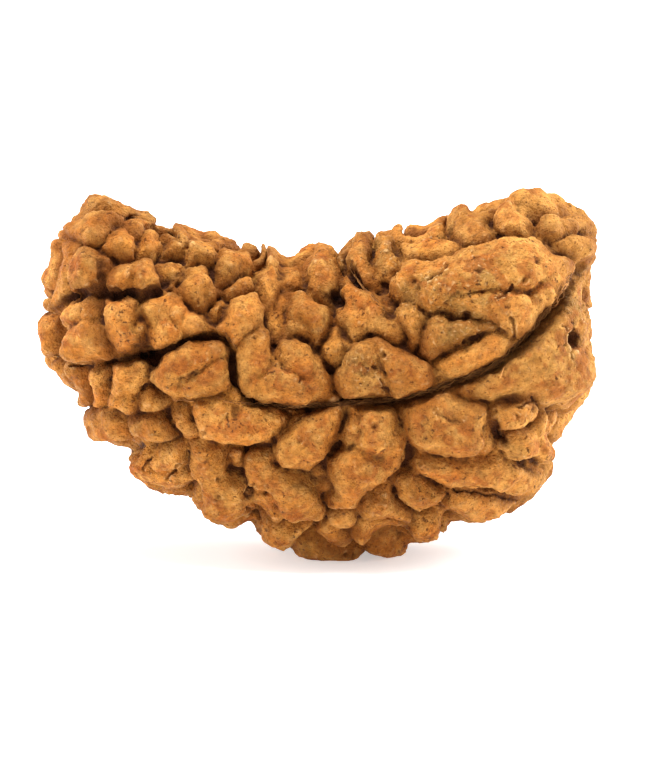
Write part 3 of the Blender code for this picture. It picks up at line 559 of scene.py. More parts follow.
def shellBody():  # the whole shell in millimetres, with what the colours need stored on its points
    noise.seed_set(drawing["noiseSeed"])
    coarse = kernelMesh()
    tree = searchTree(coarse)
    front = drawnLumps(tree)
    lumps = front + throwLumps(tree, coarse, front)
    print("lumps placed:", len(front), "drawn,", len(lumps) - len(front), "thrown")

    fine = withModifier(coarse, "SUBSURF", levels=1, render_levels=1)
    points, normals = pointsOf(fine), normalsOf(fine)
    fineTree = searchTree(fine)
    corners = np.empty(len(fine.loops), np.int32)
    fine.loops.foreach_get("vertex_index", corners)
    corners = corners.reshape(-1, 4)
    wander = noiseVectors(points, lumpShape["wanderLength"]) * lumpShape["wander"]
    height, inward, owner = lumpField(points + wander, lumps)
    line = np.array([onKernel(tree, across, up, 0) for across, up, _ in mukhiLine])
    beside = distanceToLine(points, line, [place[2] for place in mukhiLine])
    height *= rounded(beside / lumpShape["lineBlend"])
    height -= lumpShape["lineDepth"] * np.clip(1 - beside / lumpShape["lineBlend"], 0, 1) ** 2
    raised = fine.copy()
    movePoints(raised, points + normals * height[:, None])
    print("lumps raised")

    mesh = withModifier(withFoot(raised), "REMESH", mode="VOXEL", voxel_size=body["voxel"])
    movePoints(mesh, wavedPoints(mesh, tree))
    for _ in range(outline["passes"]):
        movePoints(mesh, outlinedPoints(mesh))
    mesh = withModifier(mesh, "SMOOTH", iterations=body["smoothSteps"], factor=0.5)
    movePoints(mesh, bluntPoints(mesh))
    spots = pointsOf(mesh)
    kernelFaces = [fineTree.find_nearest(Vector(spot))[2] for spot in spots]
    under = corners[kernelFaces]
    away = np.linalg.norm(points[under] - spots[:, None], axis=2)
    share = 1 / (away**2 - (away.min(axis=1)[:, None] * body["nearShare"]) ** 2 + body["nearLeast"])
    share /= share.sum(axis=1)[:, None]
    lumpTint = np.random.default_rng(body["tintSeed"]).random(len(lumps))
    keep(mesh, "inward", (inward[under] * share).sum(axis=1))
    keep(mesh, "beside", (beside[under] * share).sum(axis=1))
    keep(mesh, "tint", (lumpTint[owner][under] * share).sum(axis=1))
    print("shell body made:", len(spots), "points")
    return mesh


def bluntPoints(mesh):  # a spur that stands far out of its surroundings is worn down
    points, normals = pointsOf(mesh), normalsOf(mesh)
    out = ((points - smoothedPoints(mesh, body["wearSteps"])) * normals).sum(axis=1)
    return points - normals * (np.maximum(out - body["wearAbove"], 0) * body["wear"])[:, None]


def smoothedPoints(mesh, steps):
    return pointsOf(withModifier(mesh.copy(), "SMOOTH", iterations=steps, factor=0.5))


def keep(mesh, name, values):
    mesh.attributes.new(name, "FLOAT", "POINT").data.foreach_set("value", np.asarray(values, np.float32))


def withFoot(mesh):
    height = riseOf(body["footHalfWidth"])
    shape = bmesh.new()
    for x, y in body["footBeads"]:
        place = Matrix.Translation((x, y, height - body["footSink"]))
        bead = Matrix.Diagonal((body["footHalfWidth"], body["footHalfWidth"], height, 1))
        bmesh.ops.create_icosphere(shape, subdivisions=4, radius=1, matrix=place @ bead)
    shape.from_mesh(mesh)
    joined = bpy.data.meshes.new("joined")
    shape.to_mesh(joined)
    shape.free()
    return joined


def wavedPoints(mesh, tree):
    points = pointsOf(mesh)
    scar = onKernel(tree, *body["scar"], body["scarStands"])
    _, scarNormal, _, _ = tree.find_nearest(scar)
    away = points - np.array(scar)
    depth = away @ np.array(scarNormal)
    beside = np.linalg.norm(away - np.outer(depth, scarNormal), axis=1)
    opening = np.clip(1 - beside / body["scarHalfWidth"], 0, 1) * (depth > 0)
    wave = noiseVectors(points, body["waveLength"]) * body["wave"]
    return points + wave - np.outer(body["scarDepth"] * opening ** body["scarRoundness"], scarNormal)


# The floor, the soft light and the camera.
studio = {
    "floorSize": 3.0,
    "floorColour": (0.86, 0.85, 0.84, 1),
    "floorRoughness": 0.9,
    "floorGlow": 0.44,
    "worldStrength": 0.47,
    "lamps": (  # place, size, power
        ((-0.4, -0.3, 2.4), 1.1, 106.0),
        ((-0.26, 0.06, 0.10), 0.2, 0.95),
        ((0.26, 0.05, 0.12), 0.2, 1.35),
    ),
    "lampAim": (0, 0, 0.009),
    "lens": 200.0,
    "sensor": 36.0,
    "clip": (0.01, 20),
    "pixelsPerMillimetre": 20.0,  # of the drawing
    "pictureHeight": 760,
    "pictureMiddle": (0.25, 9.0),  # where the drawing is cut by the middle of the picture
}


outline = {
    "middle": (0.0, 8.5),
    "depth": 2.6,  # how far inside the edge it still moves the shell
    "most": 1.1,
    "passes": 3,
    "steps": 480,
    "smooth": 4,
    "footBelow": (0.25, 1.2),  # the shell's lowest part stays
    "edge": [  # of the front face in the drawing, a point where it turns, from the right end upwards
        (13.6, 8.5), (13.8, 9.2), (13.5, 11.5), (13.65, 12.2), (13.5, 13.4), (13.55, 14.5), (13.9, 15.6),
        (13.9, 16.5), (13.3, 17.4), (12.0, 18.25), (11.2, 18.55), (10.2, 18.65), (9.1, 18.2), (8.1, 17.55),
        (7.2, 17.7), (6.6, 17.65), (6.15, 17.35), (5.5, 16.65), (4.8, 16.85), (4.35, 16.65), (3.75, 16.7),
        (3.1, 16.3), (2.2, 16.5), (1.7, 16.35), (1.0, 15.35), (0.6, 15.65), (0.0, 15.9), (-0.8, 15.7),
        (-1.1, 15.35), (-1.6, 15.1), (-2.2, 15.55), (-2.7, 15.8), (-3.1, 15.5), (-3.5, 15.85), (-4.8, 16.1),
        (-5.3, 16.65), (-6.1, 16.35), (-6.7, 16.8), (-7.0, 16.85), (-7.8, 16.8), (-8.4, 17.2), (-9.1, 17.35),
        (-10.0, 18.05), (-10.5, 18.35), (-11.0, 18.4), (-11.8, 18.05), (-12.1, 17.35), (-13.3, 16.2),
        (-13.35, 15.3), (-13.75, 14.6), (-13.9, 13.8), (-13.8, 12.9), (-14.1, 11.5), (-13.7, 9.9),
        (-13.2, 9.2), (-12.4, 8.5), (-12.0, 7.9), (-11.8, 7.3), (-11.75, 6.6), (-11.4, 6.05), (-10.8, 5.7),
        (-9.7, 5.8), (-9.5, 5.4), (-9.6, 4.8), (-9.4, 4.3), (-9.0, 3.9), (-8.4, 3.5), (-7.8, 3.3),
        (-7.1, 3.3), (-6.6, 3.1), (-6.1, 2.5), (-5.4, 1.9), (-4.4, 1.6), (-3.45, 2.0), (-2.8, 1.0),
        (-2.4, 0.6), (-1.6, 0.45),
        (-0.5, 0.4), (0.5, 0.0), (1.4, 0.0), (2.3, 0.35), (3.8, 0.75), (4.3, 0.9), (5.0, 0.8), (5.6, 0.9),
        (6.1, 1.2), (6.7, 2.0), (7.2, 1.85), (7.8, 1.75), (8.5, 1.95), (10.3, 2.85), (11.0, 3.5),
        (11.45, 4.15), (11.7, 4.8), (11.8, 5.7), (12.0, 6.3), (12.6, 6.95), (13.1, 7.65),
    ],
}


def outlinedPoints(mesh):  # the edge of the front face, as the camera sees it, brought to its drawn place
    points = pointsOf(mesh)
    o = outline
    far = studio["pictureHeight"] / studio["pixelsPerMillimetre"] * studio["lens"] / studio["sensor"]
    aimAcross, aimUp = studio["pictureMiddle"]
    target = drawnRight * aimAcross + drawnUp * (aimUp - drawing["footUp"])
    nearer = far / (far - (points - np.array(target)) @ np.array(toViewer))
    across = (points[:, 0] - target.x) * nearer + aimAcross - o["middle"][0]
    up = ((points - np.array(target)) @ np.array(drawnUp)) * nearer + aimUp - o["middle"][1]
    away = np.hypot(across, up)
    turn = np.degrees(np.arctan2(up, across)) % 360
    steps = o["steps"]
    angles = np.arange(steps) * 360 / steps
    part = np.round(turn / 360 * steps).astype(int) % steps
    own = np.zeros(steps)
    np.maximum.at(own, part, away)
    edgeAcross, edgeUp = (np.array(o["edge"]) - o["middle"]).T
    edgeTurn = np.degrees(np.arctan2(edgeUp, edgeAcross)) % 360
    reach = np.interp(angles, edgeTurn, np.hypot(edgeAcross, edgeUp), period=360)
    change = np.clip(reach - own, -o["most"], o["most"])
    turns = range(-o["smooth"], o["smooth"] + 1)
    change = sum(np.roll(change, k) * (o["smooth"] + 1 - abs(k)) for k in turns) / (o["smooth"] + 1) ** 2
    push = np.interp(turn, angles, change, period=360)
    edge = np.interp(turn, angles, own, period=360)
    near = np.clip(1 - (edge - away) / o["depth"], 0, 1)
    low, high = o["footBelow"]
    push *= near**2 * (3 - 2 * near) * np.clip((points[:, 2] - low) / (high - low), 0, 1)
    away = np.maximum(away, 1e-6)
    return points + np.outer(push * across / away, drawnRight) + np.outer(push * up / away, drawnUp)


marks = {  # drawn on the front face, as across and up; cracks and pits are cut into the shell and painted with shade
    "wobbleLength": 0.35,
    "wobble": 0.12,
    "patchWobble": 4,
    "facingGain": 3,  # they fade where the shell turns away
    "crackReach": 1.5,  # in half widths
    "pitReach": 1.5,
    "patchReach": 1.6,
    "deepWithin": 0.3,  # how near a crease a crack is deeper than 1
    "wideFrom": 0.1,  # a wider crack stays near a crease
    "wideWithin": 0.4,
    "wideReach": 1.25,
    "cracks": (  # half width, depth, lines
        (0.04, 0.8, (
            [(12.2, 11.2), (11.9, 11.5), (11.7, 11.6)], [(12.1, 10.9), (11.8, 10.7), (11.6, 10.7)],
            [(12.4, 11.2), (12.4, 11.6), (12.3, 11.9)], [(12.3, 10.7), (12.2, 10.3), (12.3, 10.0)],
        )),
        (0.05, 0.4, ([(5.5, 7.5), (6.1, 7.05), (6.8, 6.95)],)),
        (0.05, 1.0, (
            [(-12.25, 9.7), (-11.6, 9.75), (-11.0, 9.85)], [(-8.25, 5.25), (-8.5, 4.9), (-8.6, 4.5)],
            [(-6.85, 4.9), (-7.2, 4.5), (-7.5, 4.15)], [(-1.2, 7.0), (-0.8, 7.3), (-0.5, 7.6)],
            [(-3.2, 4.0), (-3.6, 3.6), (-3.5, 3.2)], [(9.6, 7.7), (10.0, 7.9), (10.3, 8.0)],
            [(5.2, 13.9), (5.7, 14.2), (6.2, 14.6)],
        )),
        (0.06, 1.0, ([(6.5, 3.65), (7.5, 3.5), (8.5, 3.4), (9.75, 3.0)],)),
        (0.07, 1.0, (
            [(2.9, 9.1), (3.15, 8.6), (3.35, 8.2)], [(9.25, 12.0), (9.35, 11.5), (9.4, 11.0)],
            [(8.6, 13.0), (9.0, 13.2), (9.25, 13.5)],
        )),
        (0.16, 2.5, ([(-3.4, 2.6), (-3.1, 2.3)],)),
        (0.18, 1.0, (
            [(-10.65, 14.7), (-10.6, 14.1), (-10.55, 13.5)], [(-7.8, 13.4), (-7.4, 13.8), (-7.0, 14.1)],
        )),
        (0.2, 1.4, ([(1.25, 15.1), (1.9, 13.5), (3.0, 12.4), (3.5, 12.1)],)),
        (0.2, 1.7, ([(8.6, 7.0), (8.65, 6.4), (9.3, 5.6), (10.2, 4.6), (10.8, 4.1)],)),
        (0.24, 1.1, ([(-13.0, 12.5), (-12.3, 12.9), (-11.6, 13.15), (-10.9, 13.4)],)),
        (0.26, 1.2, ([(-9.3, 13.15), (-8.6, 13.2), (-8.0, 13.35)],)),
        (0.3, 1.2, ([(-10.9, 13.4), (-10.5, 13.25), (-9.8, 13.1)],)),
        (0.3, 2.6, ([(0.4, 13.3), (0.9, 12.8)],)),
        (0.36, 1.3, ([(-9.0, 10.9), (-8.4, 10.4), (-7.9, 9.8)],)),
    ),
    "pits": (  # across, up, radius
        (4.5, 13.8, 0.14), (7.7, 14.25, 0.15), (10.5, 14.75, 0.16), (9.85, 13.8, 0.11), (7.05, 12.1, 0.2),
        (-4.4, 7.2, 0.11), (-5.6, 6.45, 0.1), (-0.95, 6.0, 0.13), (-2.6, 3.5, 0.11), (-4.95, 4.15, 0.1),
        (-4.95, 3.25, 0.11), (1.25, 0.35, 0.1), (8.5, 7.5, 0.09), (9.55, 7.25, 0.09), (10.3, 7.55, 0.11),
        (2.65, 6.75, 0.11), (-1.0, 9.0, 0.09), (-3.1, 11.0, 0.09), (2.6, 9.6, 0.1), (3.1, 10.2, 0.1),
        (0.65, 13.0, 0.3), (-3.15, 2.4, 0.13), (12.35, 10.95, 0.4),
    ),
    "roughPatches": (  # across, up, radius of the olive, granular places
        (5.2, 13.2, 1.5), (7.0, 12.6, 1.4), (7.2, 11.8, 0.9), (3.0, 15.0, 0.8), (6.3, 11.2, 0.7),
        (8.0, 14.6, 1.0), (12.2, 12.6, 0.7), (2.0, 9.6, 0.6),
    ),
}


def drawnMarks(points, facing, inward):  # how deep each point lies in a mark, and how rough its place is
    m = marks
    across = points[:, 0]
    up = points @ np.array(drawnUp) + drawing["footUp"]
    flat = np.stack([across, up], axis=1)
    seen = np.clip(facing * m["facingGain"], 0, 1)
    wobble = noiseVectors(points, m["wobbleLength"])[:, :2] * m["wobble"]

    def spot(x, y, radius, reach, share=1):
        away = np.hypot(across + wobble[:, 0] * share - x, up + wobble[:, 1] * share - y)
        return np.clip(reach - away / radius, 0, 1)

    deep = np.zeros(len(points))
    for halfWidth, most, lines in m["cracks"]:
        depth = min(most, 1) + (most - min(most, 1)) * np.clip(1 - inward / m["deepWithin"], 0, 1)
        wide = halfWidth > m["wideFrom"]
        thin = np.clip(m["wideReach"] - inward / m["wideWithin"], 0, 1) if wide else 1
        for line in lines:
            away = distanceToLine(flat + wobble, np.array(line), [0.0] * len(line))
            share = np.clip(m["crackReach"] - away / halfWidth, 0, 1)
            deep = np.maximum(deep, depth * thin * share**2 * (3 - 2 * share))
    for pit in m["pits"]:
        deep = np.maximum(deep, spot(*pit, m["pitReach"]))
    rough = np.zeros(len(points))
    for patch in m["roughPatches"]:
        rough = np.maximum(rough, spot(*patch, m["patchReach"], m["patchWobble"]))
    return deep * seen, rough * seen


class Tree:  # short words for building a node tree
    def __init__(self, tree):
        self.tree = tree

    def add(self, kind, settings=None, **inputs):
        node = self.tree.nodes.new(kind)
        for name, value in (settings or {}).items():
            setattr(node, name, value)
        for name, value in inputs.items():
            self.set(node, name.replace("_", " "), value)
        return node

    def set(self, node, name, value):
        socket = node.inputs[name]
        if isinstance(value, bpy.types.NodeSocket):
            self.tree.links.new(value, socket)
        elif isinstance(value, bpy.types.Node):
            self.tree.links.new(value.outputs[0], socket)
        else:
            socket.default_value = value

    def math(self, operation, *values, clamp=False):
        node = self.add("ShaderNodeMath", {"operation": operation, "use_clamp": clamp})
        for index, value in enumerate(values):
            self.set(node, index, value)
        return node.outputs[0]

    def times(self, *values):
        product = values[0]
        for value in values[1:]:
            product = self.math("MULTIPLY", product, value)
        return product

    def vector(self, operation, *values, scale=None):
        node = self.add("ShaderNodeVectorMath", {"operation": operation})
        for index, value in enumerate(values):
            self.set(node, index, value)
        if scale is not None:
            self.set(node, "Scale", scale)
        return node.outputs[0]

    def noise(self, place, scale, detail, roughness=0.5):
        return self.add("ShaderNodeTexNoise", {"noise_dimensions": "3D"}, Vector=place, Scale=scale,
                        Detail=detail, Roughness=roughness)

    def ramp(self, value, low, high, start=0.0, end=1.0):
        return self.add("ShaderNodeMapRange", {"interpolation_type": "SMOOTHSTEP"}, Value=value, From_Min=low,
                        From_Max=high, To_Min=start, To_Max=end).outputs[0]

    def stored(self, name):  # what the mesh carries under this name
        if self.tree.bl_idname == "GeometryNodeTree":
            return self.add("GeometryNodeInputNamedAttribute", {"data_type": "FLOAT"}, Name=name).outputs[0]
        return self.add("ShaderNodeAttribute", {"attribute_name": name}).outputs["Fac"]

    def store(self, geometry, name, value, domain="POINT"):
        return self.add("GeometryNodeStoreNamedAttribute", {"data_type": "FLOAT", "domain": domain},
                        Geometry=geometry, Name=name, Value=value)


def openTree(name, inputs):  # a geometry tree with its named inputs
    tree = bpy.data.node_groups.new(name, "GeometryNodeTree")
    tree.interface.new_socket("Geometry", in_out="INPUT", socket_type="NodeSocketGeometry")
    for label, value in inputs.items():
        kind = "NodeSocketInt" if isinstance(value, int) else "NodeSocketFloat"
        tree.interface.new_socket(label, in_out="INPUT", socket_type=kind).default_value = value
    tree.interface.new_socket("Geometry", in_out="OUTPUT", socket_type="NodeSocketGeometry")
    t = Tree(tree)
    return t, t.add("NodeGroupInput").outputs


def closedTree(t, geometry, material):
    real = t.add("GeometryNodeRealizeInstances", Geometry=geometry)
    painted = t.add("GeometryNodeSetMaterial", Geometry=real, Material=material)
    t.tree.links.new(painted.outputs[0], t.add("NodeGroupOutput").inputs[0])
    return t.tree


def treeResult(data, tree, values):  # the plain mesh that a node tree makes of a mesh or a curve
    holder = linked("holder", data)
    modifier = holder.modifiers.new("tree", "NODES")
    modifier.node_group = tree
    for item in tree.interface.items_tree:
        if item.in_out == "INPUT" and item.name in values:
            modifier[item.identifier] = values[item.name]
    return plainMesh(holder)


def principled(name):
    material = bpy.data.materials.new(name)
    material.use_nodes = True
    return material, Tree(material.node_tree), material.node_tree.nodes["Principled BSDF"]


# The fine relief of the shell, in millimetres.
relief = {
    "inputs": {
        "Fold Size": 1.05,
        "Fold Height": 0.25,
        "Grain Size": 0.17,
        "Grain Height": 0.07,
        "Ripple Size": 0.42,
        "Ripple Height": 0.11,
        "Pit Spacing": 0.6,
        "Pit Radius": 0.12,
        "Pit Depth": 0.09,
        "Pit Share": 0.4,
        "Pit Bend": 0.35,
        "Mark Depth": 0.16,
        "Rough Grain": 1.6,
        "Seed": 11.0,
    },
    "waves": {"Grain": (3.0, 0.6), "Ripple": (2.0, 0.5), "Fold": (2.0, 0.55)},  # detail and roughness
    "onLump": (-0.02, 0.22),  # how far in from the crease a pit begins, and is whole
}


def reliefTree(material):
    t, given = openTree("shellRelief", relief["inputs"])
    place = t.vector("ADD", t.add("GeometryNodeInputPosition"), t.add("ShaderNodeCombineXYZ", X=given["Seed"]))

    def wave(name, gain=1.0):
        noiseNode = t.noise(place, t.math("DIVIDE", 1.0, given[name + " Size"]), *relief["waves"][name])
        height = t.times(given[name + " Height"], 2.0, gain)
        return t.times(t.math("SUBTRACT", noiseNode, 0.5), height), noiseNode

    # Loose crumbs of the remesh are dropped: only the largest island stays.
    island = t.add("GeometryNodeInputMeshIsland").outputs["Island Index"]
    size = t.add("GeometryNodeAccumulateField", {"data_type": "INT", "domain": "POINT"}, Group_ID=island)
    t.set(size, 0, 1)
    counted = t.store(given["Geometry"], "islandSize", size.outputs["Total"])
    largest = t.add("GeometryNodeAttributeStatistic", {"data_type": "FLOAT", "domain": "POINT"},
                    Geometry=counted, Attribute=t.stored("islandSize")).outputs["Max"]
    small = t.add("FunctionNodeCompare", {"data_type": "FLOAT", "operation": "LESS_THAN"})
    t.set(small, 0, t.stored("islandSize"))
    t.set(small, 1, largest)
    whole = t.add("GeometryNodeDeleteGeometry", {"domain": "POINT"}, Geometry=counted, Selection=small)

    onLump = t.ramp(t.stored("inward"), *relief["onLump"])
    grainUp, _ = wave("Grain", t.math("ADD", 1.0, t.times(t.stored("rough"), given["Rough Grain"])))
    rippleUp, ripple = wave("Ripple")
    foldUp, _ = wave("Fold")

    bend = t.vector("SUBTRACT", ripple.outputs["Color"], (0.5, 0.5, 0.5))
    bent = t.vector("ADD", place, t.vector("SCALE", bend, scale=given["Pit Bend"]))
    cells = t.add("ShaderNodeTexVoronoi", {"voronoi_dimensions": "3D", "feature": "F1"}, Vector=bent,
                  Scale=t.math("DIVIDE", 1.0, given["Pit Spacing"]))
    pick = t.add("FunctionNodeSeparateColor", Color=cells.outputs["Color"]).outputs[0]
    away = t.times(cells.outputs["Distance"], given["Pit Spacing"])
    pit = t.ramp(away, 0.0, given["Pit Radius"], 1.0, 0.0)
    pit = t.times(pit, t.math("LESS_THAN", pick, given["Pit Share"]))
    pitDown = t.times(pit, t.times(onLump, given["Pit Depth"]))
    markDown = t.times(t.stored("mark"), given["Mark Depth"])

    ups = t.math("ADD", t.math("ADD", grainUp, rippleUp), foldUp)
    height = t.math("SUBTRACT", ups, t.math("ADD", pitDown, markDown))
    offset = t.vector("SCALE", t.add("GeometryNodeInputNormal"), scale=height)
    moved = t.add("GeometryNodeSetPosition", Geometry=whole, Offset=offset)
    # the pit share is kept for the painted shade in the pits
    return closedTree(t, t.store(moved, "pit", t.times(pit, onLump)), material)


shellLook = {
    "tan": (0.43, 0.172, 0.029),
    "orange": (0.39, 0.13, 0.018),
    "straw": (0.56, 0.285, 0.070),
    "umber": (0.17, 0.047, 0.005),
    "blotch": (0.26, 0.058, 0.006),
    # cream: part wear, part painted highlight on fine ridges
    "creamWearAndHighlight": (0.74, 0.44, 0.18),
    "olive": (0.25, 0.14, 0.035),
    # crevice and deepest are painted shade in hollows, cracks, pits and the line; crevice also colours small
    # dark dashes
    "crevice": (0.050, 0.0125, 0.002),
    "deepest": (0.010, 0.0025, 0.0006),
    "patches": {  # size in millimetres, shift, detail, roughness, and the noise where they begin and are full
        "broad": (2.2, 0.0, 4.0, 0.55, 0.36, 0.64),
        "second": (0.99, 7.0, 4.0, 0.55, 0.42, 0.66),
        "shade": (1.2, 41.0, 5.0, 0.6, 0.5, 0.66),
        "olive": (0.9, 3.0, 4.0, 0.55, 0.35, 0.6),
        "tops": (0.75, 13.0, 4.0, 0.55, 0.44, 0.58),
        "specks": (0.14, 17.0, 3.0, 0.55, 0.58, 0.68),
        "dashes": (0.26, 23.0, 2.5, 0.55, 0.6, 0.68),
        "dashPlaces": (1.3, 31.0, 4.0, 0.55, 0.42, 0.58),
        "sides": (1.7, 53.0, 4.0, 0.55, 0.36, 0.62),
    },
    "right": (5.0, 13.0),  # the paler right part, along X
    "tops": (0.3, 0.7),  # how far in from the crease
    # painted shade on the slopes beside a crease: how far in from the crease it fades out
    "sides": (-0.04, 0.4),
    "ridges": (0.008, 0.05),  # how far a fine ridge stands out, for the cream that is part wear, part painted highlight
    "hollows": (0.02, 0.22),  # painted shade: how far a place lies under its surroundings, where the shade begins and is full
    # the deepest hollows, painted near black as shade
    "deepHollows": (0.2, 0.45),
    "line": (-0.05, 0.26),  # how far from the mukhi line the darkening reaches: part dark fibrous brown, part painted shade
    "fine": (0.32, 5.0, 5.0, 0.65),  # size, shift, detail, roughness
    "fineShade": (1.7, 0.15),  # change, least
    "lumpTint": (0.34, 0.83),
    # how strong the painted shade on the slopes is: noise times the first, plus the second
    "sideShade": (0.6, 0.25),
    "fineRoughness": (0.25, 0.58),
    "grains": ((0.11, 2.0, 3.0, 0.55), (0.3, 9.0, 4.0, 0.55)),
    "smallGrain": 0.6,
    "specular": 0.13,
    "bump": 0.00026,
    "hollowSteps": 160,
    "edgeSteps": 4,
}


def shellMaterial():
    look = shellLook
    material, t, surface = principled("rudrakshaShell")
    coordinates = t.add("ShaderNodeTexCoord").outputs["Object"]
    place = t.add("ShaderNodeMapping", {"vector_type": "POINT"}, Vector=coordinates, Scale=(1000, 1000, 1000))

    def noiseAt(size, shift, detail, roughness):
        moved = t.vector("ADD", place, (shift, shift * 0.7, -shift))
        return t.noise(moved, 1 / size, detail, roughness).outputs[0]

    def patch(name):
        values = look["patches"][name]
        return t.ramp(noiseAt(*values[:4]), *values[4:])

    def mix(share, first, second, blend="MIX"):
        node = t.add("ShaderNodeMix", {"data_type": "RGBA", "blend_type": blend})
        t.set(node, 0, share)
        t.set(node, 6, first)
        t.set(node, 7, second)
        return node.outputs[2]

    def over(colour, name, *shares):  # a named colour laid over what is there
        return mix(t.times(*shares), colour, (*look[name], 1.0))

    def shaded(colour, value, name):
        grey = t.math("MULTIPLY_ADD", value, *look[name])
        return mix(1.0, colour, t.add("ShaderNodeCombineColor", Red=grey, Green=grey, Blue=grey), "MULTIPLY")

    inward = t.stored("inward")
    hollow = t.stored("hollow")  # broad hollows are positive, broad swellings negative; it places the painted shade of the hollows
    edge = t.stored("edge")  # fine ridges are positive, fine grooves negative; it places the cream of wear and painted highlight
    fine = noiseAt(*look["fine"])
    along = t.add("ShaderNodeSeparateXYZ", Vector=place).outputs[0]
    colour = over((*look["tan"], 1.0), "orange", patch("broad"))
    colour = over(colour, "straw", patch("second"), 0.5)
    colour = over(colour, "straw", t.ramp(along, *look["right"]), 0.45)
    colour = over(colour, "umber", patch("shade"), 0.4)
    colour = over(colour, "olive", t.stored("rough"), patch("olive"), 0.6)
    colour = over(colour, "blotch", t.ramp(inward, *look["tops"]), patch("tops"), 0.62)
    colour = shaded(colour, fine, "fineShade")
    colour = shaded(colour, t.stored("tint"), "lumpTint")
    colour = over(colour, "umber", patch("specks"), 0.8)
    colour = over(colour, "crevice", patch("dashes"), patch("dashPlaces"), 0.8)
    # cream on fine ridges: part wear, part painted highlight
    colour = over(colour, "creamWearAndHighlight", t.ramp(edge, *look["ridges"]), 0.75)
    # painted shade: umber on the slopes next to each crease, uneven by a noise patch
    side = t.math("SUBTRACT", 1.0, t.ramp(inward, *look["sides"]))
    colour = over(colour, "umber", side, t.math("MULTIPLY_ADD", patch("sides"), *look["sideShade"]))
    # painted shade: broad hollows turn crevice brown
    colour = over(colour, "crevice", t.ramp(hollow, *look["hollows"]))
    # the mukhi line darkened: part the dark fibrous brown in the groove, part painted shade
    inLine = t.math("SUBTRACT", 1.0, t.ramp(t.stored("beside"), *look["line"]))
    colour = over(colour, "crevice", inLine, 0.7)
    # painted shade in the cracks and pits, which are also cut into the shell
    colour = over(colour, "crevice", t.math("MAXIMUM", t.stored("mark"), t.stored("pit"), clamp=True), 0.75)
    # painted shade: the deepest hollows turn near black
    colour = over(colour, "deepest", t.ramp(hollow, *look["deepHollows"]))
    small, large = (noiseAt(*values) for values in look["grains"])
    grain = t.math("ADD", t.times(small, look["smallGrain"]), large)
    t.set(surface, "Base Color", colour)
    t.set(surface, "Roughness", t.math("MULTIPLY_ADD", fine, *look["fineRoughness"]))
    t.set(surface, "Specular IOR Level", look["specular"])
    t.set(surface, "Normal", t.add("ShaderNodeBump", Height=grain, Distance=look["bump"], Strength=1.0))
    return material


def fineShell():
    mesh = shellBody()
    points, normals = pointsOf(mesh), normalsOf(mesh)
    inward = np.empty(len(points), np.float32)
    mesh.attributes["inward"].data.foreach_get("value", inward)
    deep, rough = drawnMarks(points, normals @ np.array(toViewer), inward)
    keep(mesh, "mark", deep)
    keep(mesh, "rough", rough)
    mesh = treeResult(mesh, reliefTree(shellMaterial()), relief["inputs"])
    print("relief made")
    points, normals = pointsOf(mesh), normalsOf(mesh)
    # how far each point lies under its wide surroundings, for the painted shade in hollows
    wide = smoothedPoints(mesh, shellLook["hollowSteps"])
    keep(mesh, "hollow", ((wide - points) * normals).sum(axis=1))
    # how far each point stands out of its near surroundings, for the cream of wear and painted highlight
    near = smoothedPoints(mesh, shellLook["edgeSteps"])
    keep(mesh, "edge", ((points - near) * normals).sum(axis=1))
    points[:, 2] = np.maximum(points[:, 2], 0)  # the flat spot that it rests on
    movePoints(mesh, points)
    mesh = withModifier(mesh, "TRIANGULATE", quad_method="BEAUTY")
    mesh = withModifier(mesh, "DECIMATE", ratio=min(1.0, body["triangles"] / len(mesh.polygons)))
    mesh.shade_smooth()
    print("fine shell:", len(mesh.polygons), "triangles")
    return mesh


# Brown fibres that lie in the line and in a few creases, and one that stands out.
fibres = {
    "inputs": {
        "Strands": 30,
        "Spacing": 0.14,
        "Spread": 0.2,
        "Wander Size": 0.9,
        "Wander": 4.5,
        "Own Place": 0.6,
        "Radius": 0.016,
        "Shortest": 0.12,
        "Longest": 0.55,
        "Seed": 5,
    },
    "sides": 5,
    "pathStep": 0.25,
    "pathSmooth": 4,  # a pulled thread doesn't follow each small bump
    "dark": (0.055, 0.016, 0.004, 1),
    "light": (0.55, 0.24, 0.07, 1),
    "lighter": 0.6,  # how much lighter some strands are
    "roughness": 0.6,
    "specular": 0.1,
    "paths": (  # points of the drawing, number of strands, spread, tone, lift
        ([(-6.0, 8.2), (-5.2, 7.95), (-3.5, 7.75), (-1.5, 7.75), (0.0, 7.8), (2.0, 7.85), (4.0, 8.1),
          (5.0, 8.35), (6.0, 8.75), (8.0, 9.4), (9.0, 10.2), (10.0, 11.15), (11.0, 12.4), (12.0, 13.85),
          (12.5, 14.45)],
         44, 0.17, 0.1, 0.12),
        ([(4.0, 8.1), (6.0, 8.75), (8.0, 9.4), (9.0, 10.2), (10.0, 11.15), (11.0, 12.4), (12.0, 13.85)],
         46, 0.26, 0.3, 0.26),
        ([(-7.0, 8.1), (-6.4, 8.0), (-5.6, 8.0)], 9, 0.14, 0.3, 0.06),
        ([(-4.5, 11.8), (-4.4, 11.0), (-4.0, 10.4)], 8, 0.1, 0.1, 0.04),
        ([(1.2, 15.2), (1.7, 14.0), (2.6, 12.9), (3.4, 12.1)], 7, 0.12, 0.3, 0.05),
        ([(9.0, 9.95), (8.85, 9.4), (8.6, 8.85)], 2, 0.03, 1.0, 0.22),
    ),
}


